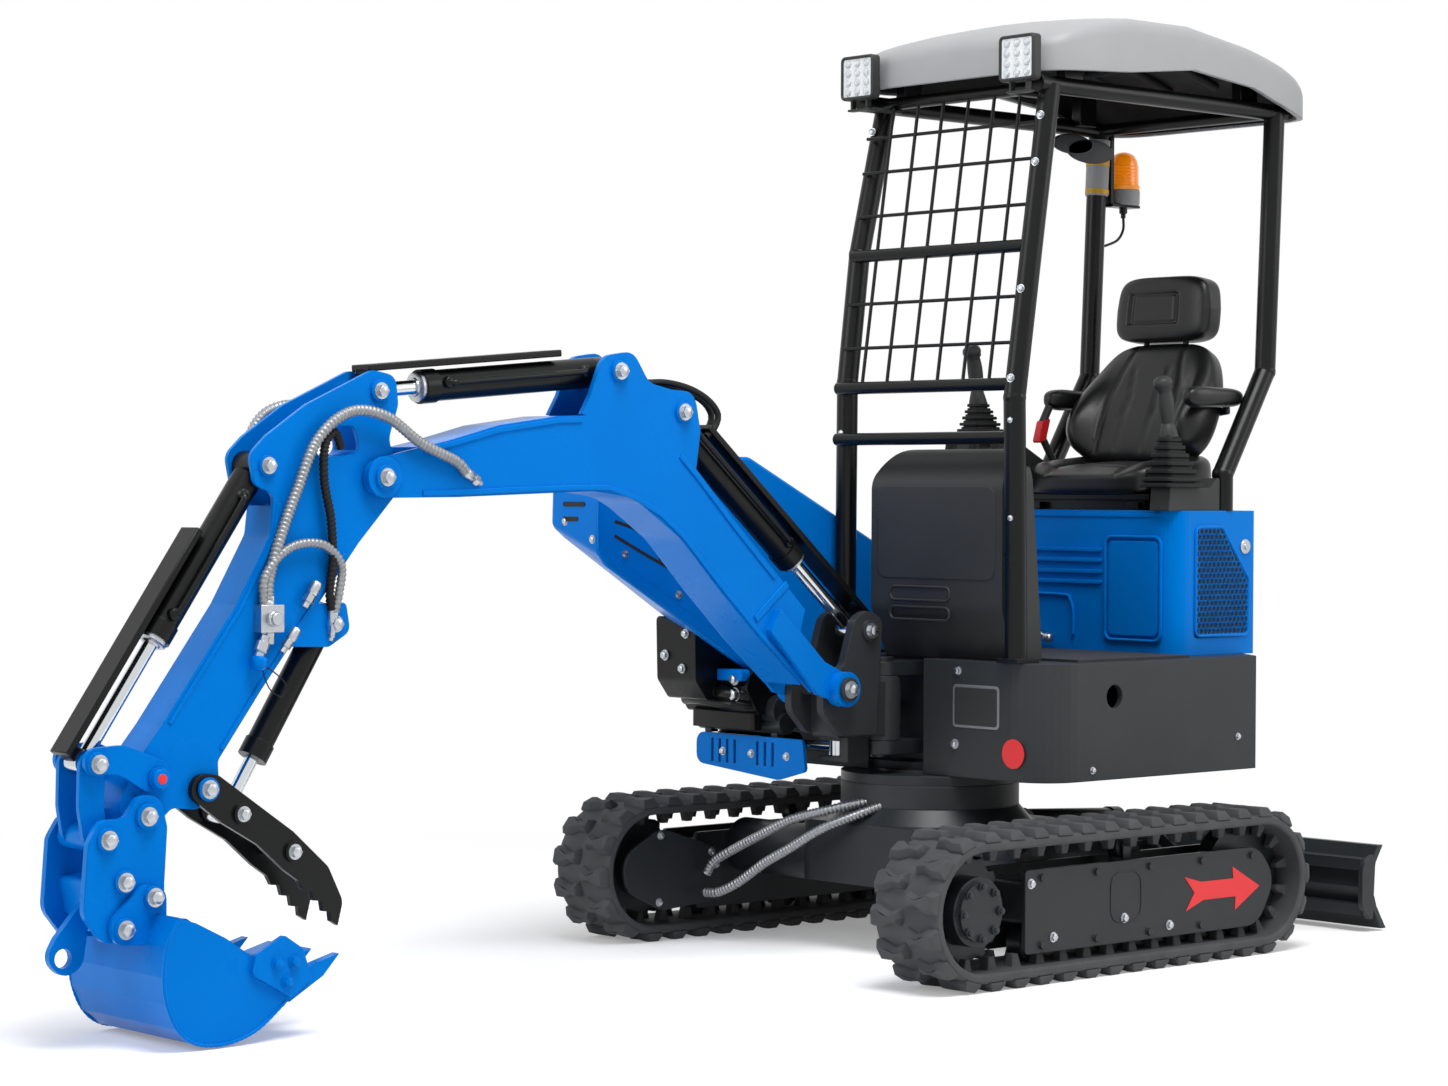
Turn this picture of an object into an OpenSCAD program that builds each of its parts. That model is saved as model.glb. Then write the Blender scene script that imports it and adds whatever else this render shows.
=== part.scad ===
// Mini excavator with canopy, quick coupler, thumb and rear blade.
// Millimetres. X forward, Y left, Z up, origin on the ground under the slew axis.

/* [Tracks] */
// overall length of one track over the lugs
track_length = 1220; // [1100:10:1400]
// overall height of one track over the lugs
track_height = 325; // [290:5:380]
// width of one rubber track
track_width = 180; // [150:5:250]
// overall width over both tracks
gauge_width = 1200; // [1000:10:1400]
// height of the outer lugs
lug_height = 18; // [10:1:26]
// number of lugs in one row
lug_count = 37; // [28:1:46]
// thickness of the rubber belt
belt_thick = 20; // [14:1:28]

/* [Blade] */
// overall width of the dozer blade
blade_width = 1040; // [900:10:1300]
// height of the dozer blade
blade_height = 195; // [150:5:260]
// reach of the blade behind the slew axis
blade_reach = 960; // [860:10:1100]

/* [House] */
// height of the floor over the ground
deck_height = 650; // [600:5:720]
// height of the slew ring joint over the ground
ring_height = 372; // [350:2:388]
// overall width of the lower shell
house_width = 900; // [800:10:1000]
// tail swing radius
tail_radius = 745; // [680:5:820]
// thickness of the shell wall
shell_wall = 14; // [8:1:24]

/* [Hood] */
// height of the hood over the floor
hood_height = 328; // [280:4:380]
// distance of the hood front behind the slew axis
hood_front = 400; // [350:10:460]
// sheet thickness of the hood
hood_wall = 6; // [4:1:10]

/* [Canopy] */
// height of the roof top
roof_top = 2090; // [1950:10:2250]
// half spacing of the canopy posts
post_half = 270; // [230:5:300]
// sideways centre of the operator station
cab_y = 80; // [40:5:100]
// radius of the post tubes
post_r = 24; // [18:1:30]

/* [Seat] */
// width of the seat
seat_width = 400; // [360:10:420]
// height of the cushion top over the floor
seat_height = 425; // [400:5:460]

/* [Boom] */
// outer width of the boom box
boom_width = 116; // [100:2:140]
// plate thickness of boom and arm
plate = 9; // [6:1:14]
// radius of the main pins
pin_r = 16; // [12:1:20]

/* [Arm] */
// outer width of the arm box
arm_width = 86; // [70:2:100]

/* [Cylinders] */
// barrel radius of the boom and arm cylinders
barrel_r = 31; // [26:1:36]
// rod radius of the boom and arm cylinders
rod_r = 15; // [12:1:18]
// clearance between pins and bores
fit = 0.1; // [0.05:0.05:0.5]

/* [Bucket] */
// width of the bucket
bucket_width = 320; // [260:10:420]
// plate thickness of the bucket shell
bucket_plate = 9; // [6:1:14]
// outer width of the quick coupler
coupler_width = 150; // [130:2:170]

/* [Hidden] */
$fn = 48;

blue = "#0A6FDB";
black = "#1A1B1C";
dark = "#3B3E40";
rubber = "#4A4A4A";
steel = "#B9BCC0";
grey = "#9A9C9E";

// pins in the side view: [x, z]
foot = [350, 590];
lift_low = [252, 714];
lift_top = [797, 1180];
stick_base = [971, 1260];
elbow = [1565, 1040];
stick_eye = [1563, 1206];
curl_base = [1822, 1060];
link_pin = [2068, 487];
link_eye = [2195, 520];
tip = [2104, 422];
coupler_eye = [2186, 384];
thumb_pin = [1962, 462];
thumb_eye = [1886, 412];
thumb_base = [1668, 760];
swing_x = 160;

track_y = gauge_width / 2 - track_width / 2;
end_r = track_height / 2;
end_x = track_length / 2 - end_r;
half_w = house_width / 2;
hood_top = deck_height + hood_height;

// outline helpers
function unit(v) = v / norm(v);
function turn(a, b, c, r, n) = let (u = unit(a - b), v = unit(c - b), h = acos(u * v) / 2,
    m = b + unit(u + v) * r / sin(h), p = b + u * r / tan(h), q = b + v * r / tan(h),
    s = atan2(p.y - m.y, p.x - m.x), e = atan2(q.y - m.y, q.x - m.x),
    d = e - s > 180 ? e - s - 360 : e - s < -180 ? e - s + 360 : e - s)
  [for (i = [0:n]) m + r * [cos(s + d * i / n), sin(s + d * i / n)]];
function xy(p) = [p[0], p[1]];
function soft(p, n = 5) = let (k = len(p)) [for (i = [0:k - 1])
    each (len(p[i]) < 3 || p[i][2] == 0 ? [xy(p[i])]
      : turn(xy(p[(i + k - 1) % k]), xy(p[i]), xy(p[(i + 1) % k]), p[i][2], n))];
function inset(p, d) = let (k = len(p)) [for (i = [0:k - 1])
    let (a = p[(i + k - 1) % k], b = p[i], c = p[(i + 1) % k], e = unit(b - a), f = unit(c - b),
      m = [-e.y, e.x], n = [-f.y, f.x]) b + d * (m + n) / (1 + m * n)];

// body helpers
module side(p, y0, y1) translate([0, y1, 0]) rotate([90, 0, 0]) linear_extrude(y1 - y0) polygon(p);
module flat(p, z0, z1) translate([0, 0, z0]) linear_extrude(z1 - z0) polygon(p);
module front(p, x0, x1) translate([x0, 0, 0]) rotate([90, 0, 90]) linear_extrude(x1 - x0) polygon(p);
module rod_y(p, r, y0, y1) translate([p[0], y0, p[1]]) rotate([-90, 0, 0]) cylinder(r = r, h = y1 - y0);
module box(a, b) translate(a) cube(b - a);
module bar(a, b, r) let (v = b - a) translate(a)
  rotate([0, acos(v.z / norm(v)), atan2(v.y, v.x)]) cylinder(r = r, h = norm(v));
// a tube along points, with a ball at each bend
module pipe(p, r) {
  for (i = [0:len(p) - 2]) bar(p[i], p[i + 1], r);
  for (i = [1:1:len(p) - 2]) translate(p[i]) sphere(r * 1.04);
}
module mirrored() { children(); mirror([0, 1, 0]) children(); }
// pin heads on both outer faces of a bracket
module heads(p, r, y, h = 6) for (s = [-1, 1]) rod_y(p, r, min(s * y, s * (y + h)), max(s * y,
    s * (y + h)));
// a frame that runs along a cylinder: x from the base pin to the eye
module along_pins(a, b, y = 0) translate([a[0], y, a[1]])
  rotate([0, -atan2(b[1] - a[1], b[0] - a[0]), 0]) children();
module barrel(length, r, bore, eye_r, eye_w, pin) {
  difference() {
    union() {
      rotate([0, 90, 0]) translate([0, 0, eye_r * 0.9]) cylinder(r = r, h = length - eye_r * 0.9);
      translate([length - 34, 0, 0]) rotate([0, 90, 0]) cylinder(r = r + 3, h = 34);
      rotate([90, 0, 0]) translate([0, 0, -eye_w / 2]) cylinder(r = eye_r, h = eye_w);
    }
    translate([eye_r + 24, 0, 0]) rotate([0, 90, 0]) cylinder(r = bore, h = length);
    rotate([90, 0, 0]) translate([0, 0, -eye_w]) cylinder(r = pin + fit, h = eye_w * 2);
  }
}
module rod(length, start, r, eye_r, eye_w) {
  translate([start, 0, 0]) rotate([0, 90, 0]) cylinder(r = r, h = length - start - eye_r * 0.5);
  translate([length, 0, 0]) rotate([90, 0, 0]) translate([0, 0, -eye_w / 2]) cylinder(r = eye_r, h = eye_w);
}

// undercarriage
straight = 2 * end_x;
function loop_r(d) = end_r - d;
function loop_len(d) = 2 * straight + 2 * PI * loop_r(d);
// a point on the track loop at the share t of its way, d inside the lug tips
function loop_at(t, d) = let (r = loop_r(d), arc = PI * loop_r(lug_height), total = 2 * straight + 2 * arc,
    s = (t - floor(t)) * total)
  s < straight ? [s - end_x, end_r - r]
  : s < straight + arc ? let (a = -90 + 180 * (s - straight) / arc) [end_x + r * cos(a), end_r + r * sin(a)]
  : s < 2 * straight + arc ? [end_x - (s - straight - arc), end_r + r]
  : let (a = 90 + 180 * (s - 2 * straight - arc) / arc) [-end_x + r * cos(a), end_r + r * sin(a)];
function lugged(phase) = [for (i = [0:lug_count - 1])
    each [loop_at((i + phase) / lug_count, lug_height), loop_at((i + phase + 0.1) / lug_count, 0),
      loop_at((i + phase + 0.42) / lug_count, 0), loop_at((i + phase + 0.56) / lug_count, lug_height)]];
function plain(d) = [for (i = [0:2 * lug_count - 1]) loop_at(i / 2 / lug_count, d)];
function guided() = [for (i = [0:lug_count - 1]) let (d = lug_height + belt_thick)
    each [loop_at((i + 0.22) / lug_count, d), loop_at((i + 0.3) / lug_count, d + 26),
      loop_at((i + 0.52) / lug_count, d + 26), loop_at((i + 0.6) / lug_count, d)]];
module strip(outer, inner, y0, y1) translate([0, y1, 0]) rotate([90, 0, 0]) linear_extrude(y1 - y0)
  difference() { polygon(outer); polygon(inner); }
module track_loop() color(rubber) {
  w = track_width / 2;
  belt = plain(lug_height + belt_thick);
  strip(lugged(0), belt, -w, -w * 0.52);
  strip(lugged(0), guided(), -w * 0.52, -w * 0.26);
  strip(lugged(0), belt, -w * 0.26, -w * 0.05);
  strip(plain(lug_height), belt, -w * 0.05, w * 0.05);
  strip(lugged(0.5), belt, w * 0.05, w * 0.26);
  strip(lugged(0.5), guided(), w * 0.26, w * 0.52);
  strip(lugged(0.5), belt, w * 0.52, w);
}
module track_left() translate([0, track_y, 0]) track_loop();
module track_right() translate([0, -track_y, 0]) mirror([0, 1, 0]) track_loop();

inner_r = end_r - lug_height - belt_thick;
guard_low = 62;
guard_high = 236;
roller_r = 38;
top_z = track_height - lug_height - belt_thick - 27;
roller_z = lug_height + belt_thick + roller_r + 1;
frame_x = end_x - 147;
roller_x = [end_x * 0.525, -20, end_x * -0.585];
module side_frame() color(black) {
  difference() {
    union() {
      for (y = [-60, 50]) side(soft([[frame_x, guard_low, 8], [frame_x, guard_high, 8],
          [-end_x - 10, guard_high, 70],
        [-end_x - 70, end_r, 60], [-end_x - 10, guard_low, 70]]), y, y + 10);
      side(soft([[frame_x - 4, 124, 8], [frame_x - 4, 214, 8], [138 - end_x, 214, 8],
          [138 - end_x, 124, 8]]), -50, 50);
      side(soft([[end_x + 110, end_r - 40, 60], [end_x + 110, end_r + 40, 60],
          [end_x, end_r + 96, 60], [frame_x - 36, 200, 10],
        [frame_x - 36, 86, 10], [end_x, end_r - 90, 60]]), -108, -100);
      side(soft([[frame_x + 40, 100, 8], [frame_x + 40, 190, 8], [frame_x - 36, 190, 8],
          [frame_x - 36, 100, 8]]), -100, -60);
    }
    for (x = roller_x) rod_y([x, roller_z], roller_r + 6, -50, 50);
  }
  for (y = [-22, 17]) box([-72, y, 210], [-48, y + 5, top_z + 10]);
  for (i = [0:4]) rod_y([frame_x - 50 - i * (2 * end_x - 212) / 4, guard_high - 18], 8, 60, 66);
  for (i = [0:3]) rod_y([frame_x - 50 - i * (2 * end_x - 385) / 3, guard_low + 16], 8, 60, 66);
}
module drive() color(black) {
  difference() {
    rod_y([end_x, end_r], inner_r - 4, -16, 16);
    for (i = [0:15]) rod_y([end_x + inner_r * cos(i * 22.5), end_r + inner_r * sin(i * 22.5)], 15, -20, 20);
  }
  rod_y([end_x, end_r], 72, 16, 66);
  rod_y([end_x, end_r], 60, 66, 74);
  for (i = [0:7]) rod_y([end_x + 54 * cos(i * 45), end_r + 54 * sin(i * 45)], 7, 66, 78);
  rod_y([end_x, end_r], 62, -100, -16);
}
module track_frame_left() translate([0, track_y, 0]) side_frame();
module track_frame_right() translate([0, -track_y, 0]) mirror([0, 1, 0]) side_frame();
module drive_left() translate([0, track_y, 0]) drive();
module drive_right() translate([0, -track_y, 0]) mirror([0, 1, 0]) drive();
module idler() color(black) {
  rod_y([-end_x, end_r], inner_r - 1.6, -20, 20);
  rod_y([-end_x, end_r], 40, -50, 50);
}
module idler_left() translate([0, track_y, 0]) idler();
module idler_right() translate([0, -track_y, 0]) mirror([0, 1, 0]) idler();
module rollers() color(black) {
  for (x = roller_x) {
    rod_y([x, roller_z], roller_r, -20, 20);
    rod_y([x, roller_z], 10, -50, 50);
  }
  rod_y([-60, top_z], 26, -14, 14);
  rod_y([-60, top_z], 7, -17, 17);
}
module rollers_left() translate([0, track_y, 0]) rollers();
module rollers_right() translate([0, -track_y, 0]) mirror([0, 1, 0]) rollers();

frame_in = track_y - 60;
tube_z = 200;
blade_pin = [-360, 175];
blade_base = [-266, 262];
blade_eye = [-800, 235];
module center_frame() color(black) {
  difference() {
    union() {
      for (x = [-150, 150]) rod_y([x, tube_z], 62, -frame_in, frame_in);
      flat(soft([[230, -190, 40], [230, 190, 40], [-230, 190, 40], [-230, -190, 40]]), 150, 285);
      translate([0, 0, 280]) cylinder(r1 = 235, r2 = 200, h = 40);
      mirrored() side(soft([[-200, 150, 6], [-200, 250, 6], [-330, 215, 20], blade_end(36),
          [-330, 140, 20]]), 112, 136);
      mirrored() side(soft([[-200, 200, 4], [-200, 285, 4], [blade_base[0], 296, 24],
          [blade_base[0] - 34, 280, 20], [blade_base[0] - 34, 236, 20]]), 30, 44);
    }
    translate([0, 0, 100]) cylinder(r = 60, h = 300);
  }
  rod_y(blade_pin, pin_r, -186, 186);
  heads(blade_pin, 26, 186, 7);
  rod_y(blade_base, 13, -44, 44);
  heads(blade_base, 20, 44);
}
function blade_end(r) = [blade_pin[0] - r, blade_pin[1], r * 0.9];
module slew_ring() color(dark) difference() {
  translate([0, 0, 320]) cylinder(r = 200, h = ring_height - 320);
  translate([0, 0, 300]) cylinder(r = 120 + fit, h = 200);
}

// the curved blade plate, its back ribs, arms and cylinder bracket
module blade() color(black) {
  x0 = -blade_reach;
  half = blade_width / 2;
  face = [[x0 - 30, 6], [x0 + 6, 60], [x0 + 22, 6 + blade_height * 0.5], [x0 + 10, 6 + blade_height * 0.8],
    [x0 - 16, 6 + blade_height]];
  back = [[x0 + 2, 6 + blade_height], [x0 + 26, 6 + blade_height * 0.8], [x0 + 36, 6 + blade_height * 0.5],
    [x0 + 20, 55], [x0 - 12, 6]];
  side(concat(back, face), -half, half);
  for (s = [-1, 1]) side(soft([[x0 + 20, 20, 8], [x0 + 60, 60, 30], [x0 + 60, blade_height - 40, 30],
    [x0 + 10, blade_height - 8, 8]]), s * half - 6 - s * 6, s * half + 6 - s * 6);
  for (z = [40, blade_height - 50]) box([x0 + 20, -half + 12, z], [x0 + 52, half - 12, z + 26]);
  mirrored() difference() {
    side(soft([[blade_pin[0] + 34, blade_pin[1] - 34, 33], [blade_pin[0] + 34, blade_pin[1] + 34, 33],
      [-640, 178, 40], [x0 + 34, 160, 4], [x0 + 34, 60, 4], [-640, 96, 40]]), 150, 174);
    rod_y(blade_pin, pin_r + fit, 100, 200);
  }
  mirrored() side(soft([[x0 + 30, 90, 4], [blade_eye[0] + 34, blade_eye[1] - 30, 20],
      [blade_eye[0] + 30, blade_eye[1] + 32, 30],
    [blade_eye[0] - 40, blade_eye[1] + 20, 30], [x0 + 30, 180, 4]]), 24, 36);
  heads(blade_eye, 20, 36);
}
module blade_barrel() color(black) along_pins(blade_base, blade_eye) barrel(370, 27, rod_r + fit, 26,
    50, 13);
module blade_rod() color(steel) along_pins(blade_base, blade_eye)
  rod(norm(blade_eye - blade_base), 190, rod_r, 26, 44);

// house
front_x = 110;
shell_low = 395;
post_eye = [swing_x + 86, -40];
swing_base = [255, -395];
swing_z = 452;
module plan(w, r, x, z0, z1, c) intersection() {
  flat(soft([[x, -w, c], [x, w, c], [-900, w], [-900, -w]], 8), z0, z1);
  translate([0, 0, z0]) cylinder(r = r, h = z1 - z0);
}
module main_frame() color(black) {
  plan(half_w - shell_wall - 1, tail_radius - shell_wall - 1, front_x - shell_wall - 1, shell_low - 2,
      shell_low + 22, 90);
  translate([0, 0, ring_height + fit]) cylinder(r = 200, h = shell_low - 1 - ring_height - fit);
  translate([0, 0, 330]) cylinder(r = 120 - fit, h = shell_low - 325);
  mirrored() box([-330, 88, shell_low + 10], [60, 100, deck_height - 12]);
  box([48, -100, shell_low + 10], [62, 100, deck_height - 12]);
  for (z = [[438, 468], [612, 642]]) {
    box([50, -46, z[0]], [swing_x, 46, z[1]]);
    translate([swing_x, 0, z[0]]) cylinder(r = 46, h = z[1] - z[0]);
  }
  translate([swing_x, 0, 430]) cylinder(r = 20, h = 222);
  translate([swing_x, 0, 642]) cylinder(r = 30, h = 10);
}
module lower_shell() color(dark) difference() {
  union() {
    difference() {
      plan(half_w, tail_radius, front_x, shell_low, deck_height, 100);
      plan(half_w - shell_wall, tail_radius - shell_wall, front_x - shell_wall, shell_low - 1,
          deck_height - 12, 90);
    }
    intersection() {
      plan(half_w - 4, tail_radius - 4, front_x - 4, shell_low + 22, deck_height - 4, 90);
      box([-900, -600, shell_low + 22], [-520, 600, deck_height - 4]);
    }
  }
  box([40, -86, shell_low - 10], [front_x + 10, 86, deck_height + 10]);
  translate([-110, half_w - 40, deck_height - 75]) rotate([-90, 0, 0]) cylinder(r = 26, h = 60);
}
module floor_mat() color(black) intersection() {
  plan(half_w - 30, tail_radius, front_x - 30, deck_height, deck_height + 6, 60);
  box([-hood_front + 4, -210, deck_height], [knee_x - 134, half_w, deck_height + 6]);
}
module engine_block() color(dark) box([-hood_front - 250, -200, deck_height],
    [-hood_front - 40, 200, deck_height + 230]);
hood_half = 370;
module hood_body(d, z0, z1) intersection() {
  flat(soft([[-hood_front - d, -hood_half + d, 50], [-hood_front - d, hood_half - d, 50],
      [-900, hood_half - d], [-900, -hood_half + d]], 8), z0, z1);
  translate([0, 0, z0]) cylinder(r = tail_radius + 30 - d, h = z1 - z0);
}
grille = [[-470, 690, 10], [-470, 925, 14], [-540, 925, 14], [-640, 830, 14], [-640, 690, 10]];
module engine_hood() color(blue) difference() {
  hood_body(0, deck_height, hood_top);
  hood_body(hood_wall, deck_height - 1, hood_top - hood_wall);
  side(soft(grille), hood_half - 40, hood_half + 40);
}
module hood_grille() color(black) side(soft([[-462, 682, 10], [-462, 933, 14], [-544, 933, 14],
    [-648, 836, 14], [-648, 682, 10]]), hood_half - hood_wall - 4, hood_half - hood_wall);

// right side
cover_in = -222;
cover_out = -440;
module cover_line(d, y0, y1) side(soft([[-300 + d, deck_height - d, d ? 0 : 8],
    [front_x + 12 + d, deck_height - d],
  [front_x + 12 + d, deck_height - 84 + d], [262, deck_height - 84 + d, 20],
      [752 - d, deck_height + 196 + d, 20],
  [790 - d, deck_height + 280, 30], [786 - d, deck_height + 440 - d, 40], [350, deck_height + 444 - d, 40],
  [-40, deck_height + 256 - d, 60], [-300 + d, deck_height + 140 - d, 20]]), y0, y1);
module right_cover() color(blue) difference() {
  cover_line(0, cover_out, cover_in);
  cover_line(8, cover_out + 8, cover_in - 8);
  box([front_x, cover_out + 8, deck_height - 150], [260, cover_in - 8, deck_height - 50]);
}
module front_frame() color(black) {
  box([front_x, -430, 500], [250, -150, 512]);
  box([front_x, -430, 512], [250, -418, 560]);
  box([front_x, -200, 512], [250, -188, 560]);
  box([250, -430, 500], [262, -150, 560]);
  rod_y([300, 530], 33, -430, -160);
  rod_y([300, 500], 24, -430, -150);
  box([258, -430, 490], [300, -160, 560]);
  for (z = [[424, 434], [470, 480]]) {
    box([front_x, -425, z[0]], [swing_base[0], -385, z[1]]);
    translate([swing_base[0], swing_base[1], z[0]]) cylinder(r = 20, h = z[1] - z[0]);
  }
  translate([swing_base[0], swing_base[1], 424]) cylinder(r = 12, h = 56);
  box([front_x, -425, 424], [front_x + 14, -365, 512]);
  for (y = [-400, -180]) box([290, y - 10, 470], [312, y + 10, 500]);
}
module front_guard() color(blue) difference() {
  front(soft([[-430, 400, 24], [-160, 376, 16], [-70, 400, 10], [-80, 470, 10], [-430, 470, 24]])
      , 312, 320);
  for (y = [-380, -355, -330, -305, -230, -205, -180]) box([300, y, 405], [330, y + 8, 458]);
}
knee_x = front_x;
knee_top = deck_height + 462;
module knee_panel() color(black) intersection() {
  difference() {
    side(soft([[knee_x - 130, deck_height], [knee_x - 50, deck_height], [knee_x, deck_height + 110, 60],
      [knee_x, knee_top - 72, 60], [knee_x - 54, knee_top, 30], [knee_x - 90, knee_top, 10]]), -80, 320);
    side(soft([[knee_x - 134, deck_height - 1], [knee_x - 58, deck_height - 1],
        [knee_x - 10, deck_height + 112, 56],
      [knee_x - 10, knee_top - 76, 56], [knee_x - 58, knee_top - 10, 26],
          [knee_x - 110, knee_top - 10]]), -72, 312);
  }
  front(soft([[-80, deck_height], [320, deck_height], [320, knee_top, 70],
      [-80, knee_top, 70]], 8), knee_x - 200, knee_x + 1);
}
module travel_levers() color(black) for (y = [40, 110, 180]) {
  box([8, y - 20, deck_height], [46, y + 20, deck_height + 20]);
  pipe([[27, y, deck_height + 16], [20, y, deck_height + 250], [-24, y, deck_height + 480]], 8);
}

// operator station
seat_y = cab_y + 15;
seat_top = deck_height + seat_height;
module seat_base() color(black) {
  box([-640, seat_y - 170, hood_top], [-420, seat_y + 170, hood_top + 24]);
  box([-650, seat_y - 200, hood_top + 24], [-400, seat_y + 200, hood_top + 36]);
}
module seat_cushion() color(black) side(soft([[-660, hood_top + 36, 20], [-395, hood_top + 36, 20],
    [-385, seat_top, 30],
  [-520, seat_top - 16, 60], [-660, seat_top + 4, 20]]), seat_y - seat_width / 2, seat_y + seat_width / 2);
back_top = seat_top + 291;
function cushion_z(x) = seat_top + 4.1 - (x + 660) / 7;
module seat_back() color(black) side(soft([[-600, cushion_z(-600), 6], [-610, seat_top + 120, 60],
    [-650, back_top, 30], [-730, back_top, 30],
  [-710, seat_top + 100, 60], [-670, cushion_z(-670), 6]])
      , seat_y - seat_width / 2 + 10, seat_y + seat_width / 2 - 10);
module headrest() color(black) side(soft([[-650, back_top, 20], [-660, back_top + 158, 30],
    [-740, back_top + 158, 30], [-730, back_top, 20]]), seat_y - 140, seat_y + 140);
module armrests() color(black) for (s = [-1, 1]) {
  y = seat_y + s * (seat_width / 2 + 12);
  box([-700, y - 14, seat_top + 140], [-500, y + 14, seat_top + 175]);
  box([-690, seat_y + min(s * (seat_width / 2 - 10), s * (seat_width / 2)), seat_top + 125],
    [-650, seat_y + max(s * (seat_width / 2 - 10), s * (seat_width / 2)), seat_top + 165]);
}
module consoles() color(black) {
  side(soft([[-562, hood_top], [-385, hood_top], [-390, hood_top + 52], [-530, hood_top + 52],
      [-562, hood_top + 82, 6]]), 310, 366);
  side(soft([[-560, hood_top], [-420, hood_top], [-250, hood_top + 112], [-250, hood_top + 152],
      [-420, hood_top + 152], [-560, hood_top + 82]]), -164, -112);
}
module lever(p) translate(p) {
  translate([-40, -32, 0]) cube([80, 64, 14]);
  translate([0, 0, 12]) cylinder(r1 = 30, r2 = 17, h = 100);
  bar([0, 0, 100], [20, 0, 240], 13);
  translate([20, 0, 240]) sphere(19);
}
module levers() color(black) {
  lever([-436, 336, hood_top + 52]);
  lever([-320, -138, hood_top + 152]);
}
left_y = cab_y + post_half;
right_y = cab_y - post_half;
eave = roof_top - 190;
roof_low = eave + post_r * 0.8 + 0.1;
bend_z = 1220;
module front_posts(r) {
  pipe([[96, left_y, deck_height + 4], [106, left_y, bend_z], [0, left_y, eave]], r);
  pipe([[84, right_y, deck_height + 4], [80, right_y, 1264], [44, right_y, 1556], [-40, right_y, eave]], r);
}
module canopy_frame() color(black) {
  front_posts(post_r);
  for (y = [left_y, right_y]) pipe([[-592, y, hood_top], [-592, y, 1060], [-742, y, 1300],
      [-770, y, eave]], post_r);
  for (y = [left_y, right_y]) bar([40, y, eave], [-800, y, eave], post_r * 0.8);
  for (x = [-20, -772]) bar([x, right_y, eave], [x, left_y, eave], post_r * 0.6);
  for (p = [[96, left_y], [84, right_y]]) translate([p[0] - 40, p[1] - 30, deck_height]) cube([70, 60, 10]);
}
function post_x(z) = z < bend_z ? 96 + 10 * (z - deck_height) / (bend_z - deck_height)
    : 106 - 106 * (z - bend_z) / (eave - bend_z);
module wire_guard() color(black) difference() {
  union() {
  for (z = [1135, 1250, 1550]) bar([post_x(z) + 8, right_y, z], [post_x(z) + 8, left_y, z], 14);
  for (y = [right_y + 76 : 78 : left_y - 60]) bar([post_x(1250) + 8, y, 1250],
      [post_x(1870) + 8, y, 1885], 4);
  for (z = [1340, 1440, 1640, 1740, 1820]) bar([post_x(z) + 8, right_y, z], [post_x(z) + 8, left_y, z], 4);
  }
  front_posts(post_r + 0.1);
}
roof_front = 40;
roof_rear = -880;
roof_half = 325;
// the roof's form, d inside its outer face
module roof_form(d, z) intersection() {
  side(soft([[roof_front - d, z], [roof_front - d, eave + 88 - d, 26],
      [roof_front - 120, eave + 116 - d, 120],
    [roof_front - 250, eave + 164 - d, 120], [-420, roof_top - d, 160], [-600, eave + 172 - d, 140],
    [roof_rear + 110, eave + 120 - d, 100], [roof_rear + d, eave + 70 - d, 40], [roof_rear + d, z]], 7),
    cab_y - roof_half - 10, cab_y + roof_half + 10);
  front(soft([[cab_y - roof_half + d, z], [cab_y + roof_half - d, z],
      [cab_y + roof_half - d, eave + 84 - d, 40],
    [cab_y + roof_half - 110, eave + 140 - d, 90], [cab_y, roof_top + 16 - d, 300],
        [cab_y - roof_half + 110, eave + 140 - d, 90],
    [cab_y - roof_half + d, eave + 84 - d, 40]], 7), roof_rear - 10, roof_front + 10);
  flat(soft([[roof_front - d, cab_y - roof_half + d, 140 - d],
      [roof_front - d, cab_y + roof_half - d, 140 - d],
    [roof_rear + d, cab_y + roof_half - d, 140 - d],
        [roof_rear + d, cab_y - roof_half + d, 140 - d]], 8), z, roof_top + 20);
}
module roof() color(grey) {
  difference() { roof_form(0, roof_low); roof_form(9, roof_low - 1); }
  flat(soft([[roof_front - 60, cab_y - roof_half + 5, 80], [roof_front - 60, cab_y + roof_half - 5, 80],
    [roof_rear + 60, cab_y + roof_half - 5, 80], [roof_rear + 60, cab_y - roof_half + 5, 80]])
        , roof_low, roof_low + 8);
}
lamp_low = eave - post_r * 0.6;
module work_lamps() color(black) for (y = [[cab_y + 245, -30], [cab_y - 245, 25]]) {
  box([52, y[0] - 54, lamp_low], [82, y[0] + 54, lamp_low + 108]);
  box([-32, y[0] + y[1] - 10, lamp_low - 8], [82, y[0] + y[1] + 10, lamp_low]);
}
beacon_x = -862;
module beacon() color("#D98A1A") {
  box([-812, right_y - 14, eave - 183], [-800, right_y + 14, eave + 14]);
  box([beacon_x - 40, right_y - 20, eave - 183], [-800, right_y + 20, eave - 175]);
  translate([beacon_x, right_y, eave - 175]) cylinder(r = 38, h = 40);
  translate([beacon_x, right_y, eave - 135]) cylinder(r = 34, h = 92);
}

// front work group
post_w = 60;
module swing_post() color(dark) {
  difference() {
    union() {
      translate([swing_x, 0, 469]) cylinder(r = 46, h = 142);
      side(soft([[swing_x, 480], [330, 480, 10], [330, 600, 10], [swing_x, 600]]), -40, 40);
      mirrored() side(soft([[228, 486, 8], [340, 486, 40], [392, 540, 40], [392, 610, 40],
          [330, 640, 20], [296, 744, 40], [258, 758, 30],
        [212, 742, 30], [222, 600, 20]]), 40, post_w);
      box([214, -70, 469], [278, 20, 486]);
      box([214, -70, 424], [278, 20, 434]);
      box([214, -4, 430], [278, 20, 472]);
    }
    translate([swing_x, 0, 400]) cylinder(r = 20 + fit, h = 300);
    box([swing_x, -24, 620], [400, 24, 800]);
  }
  rod_y(foot, pin_r, -96, 96);
  heads(foot, 26, 96);
  heads(lift_low, 24, post_w);
}
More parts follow.
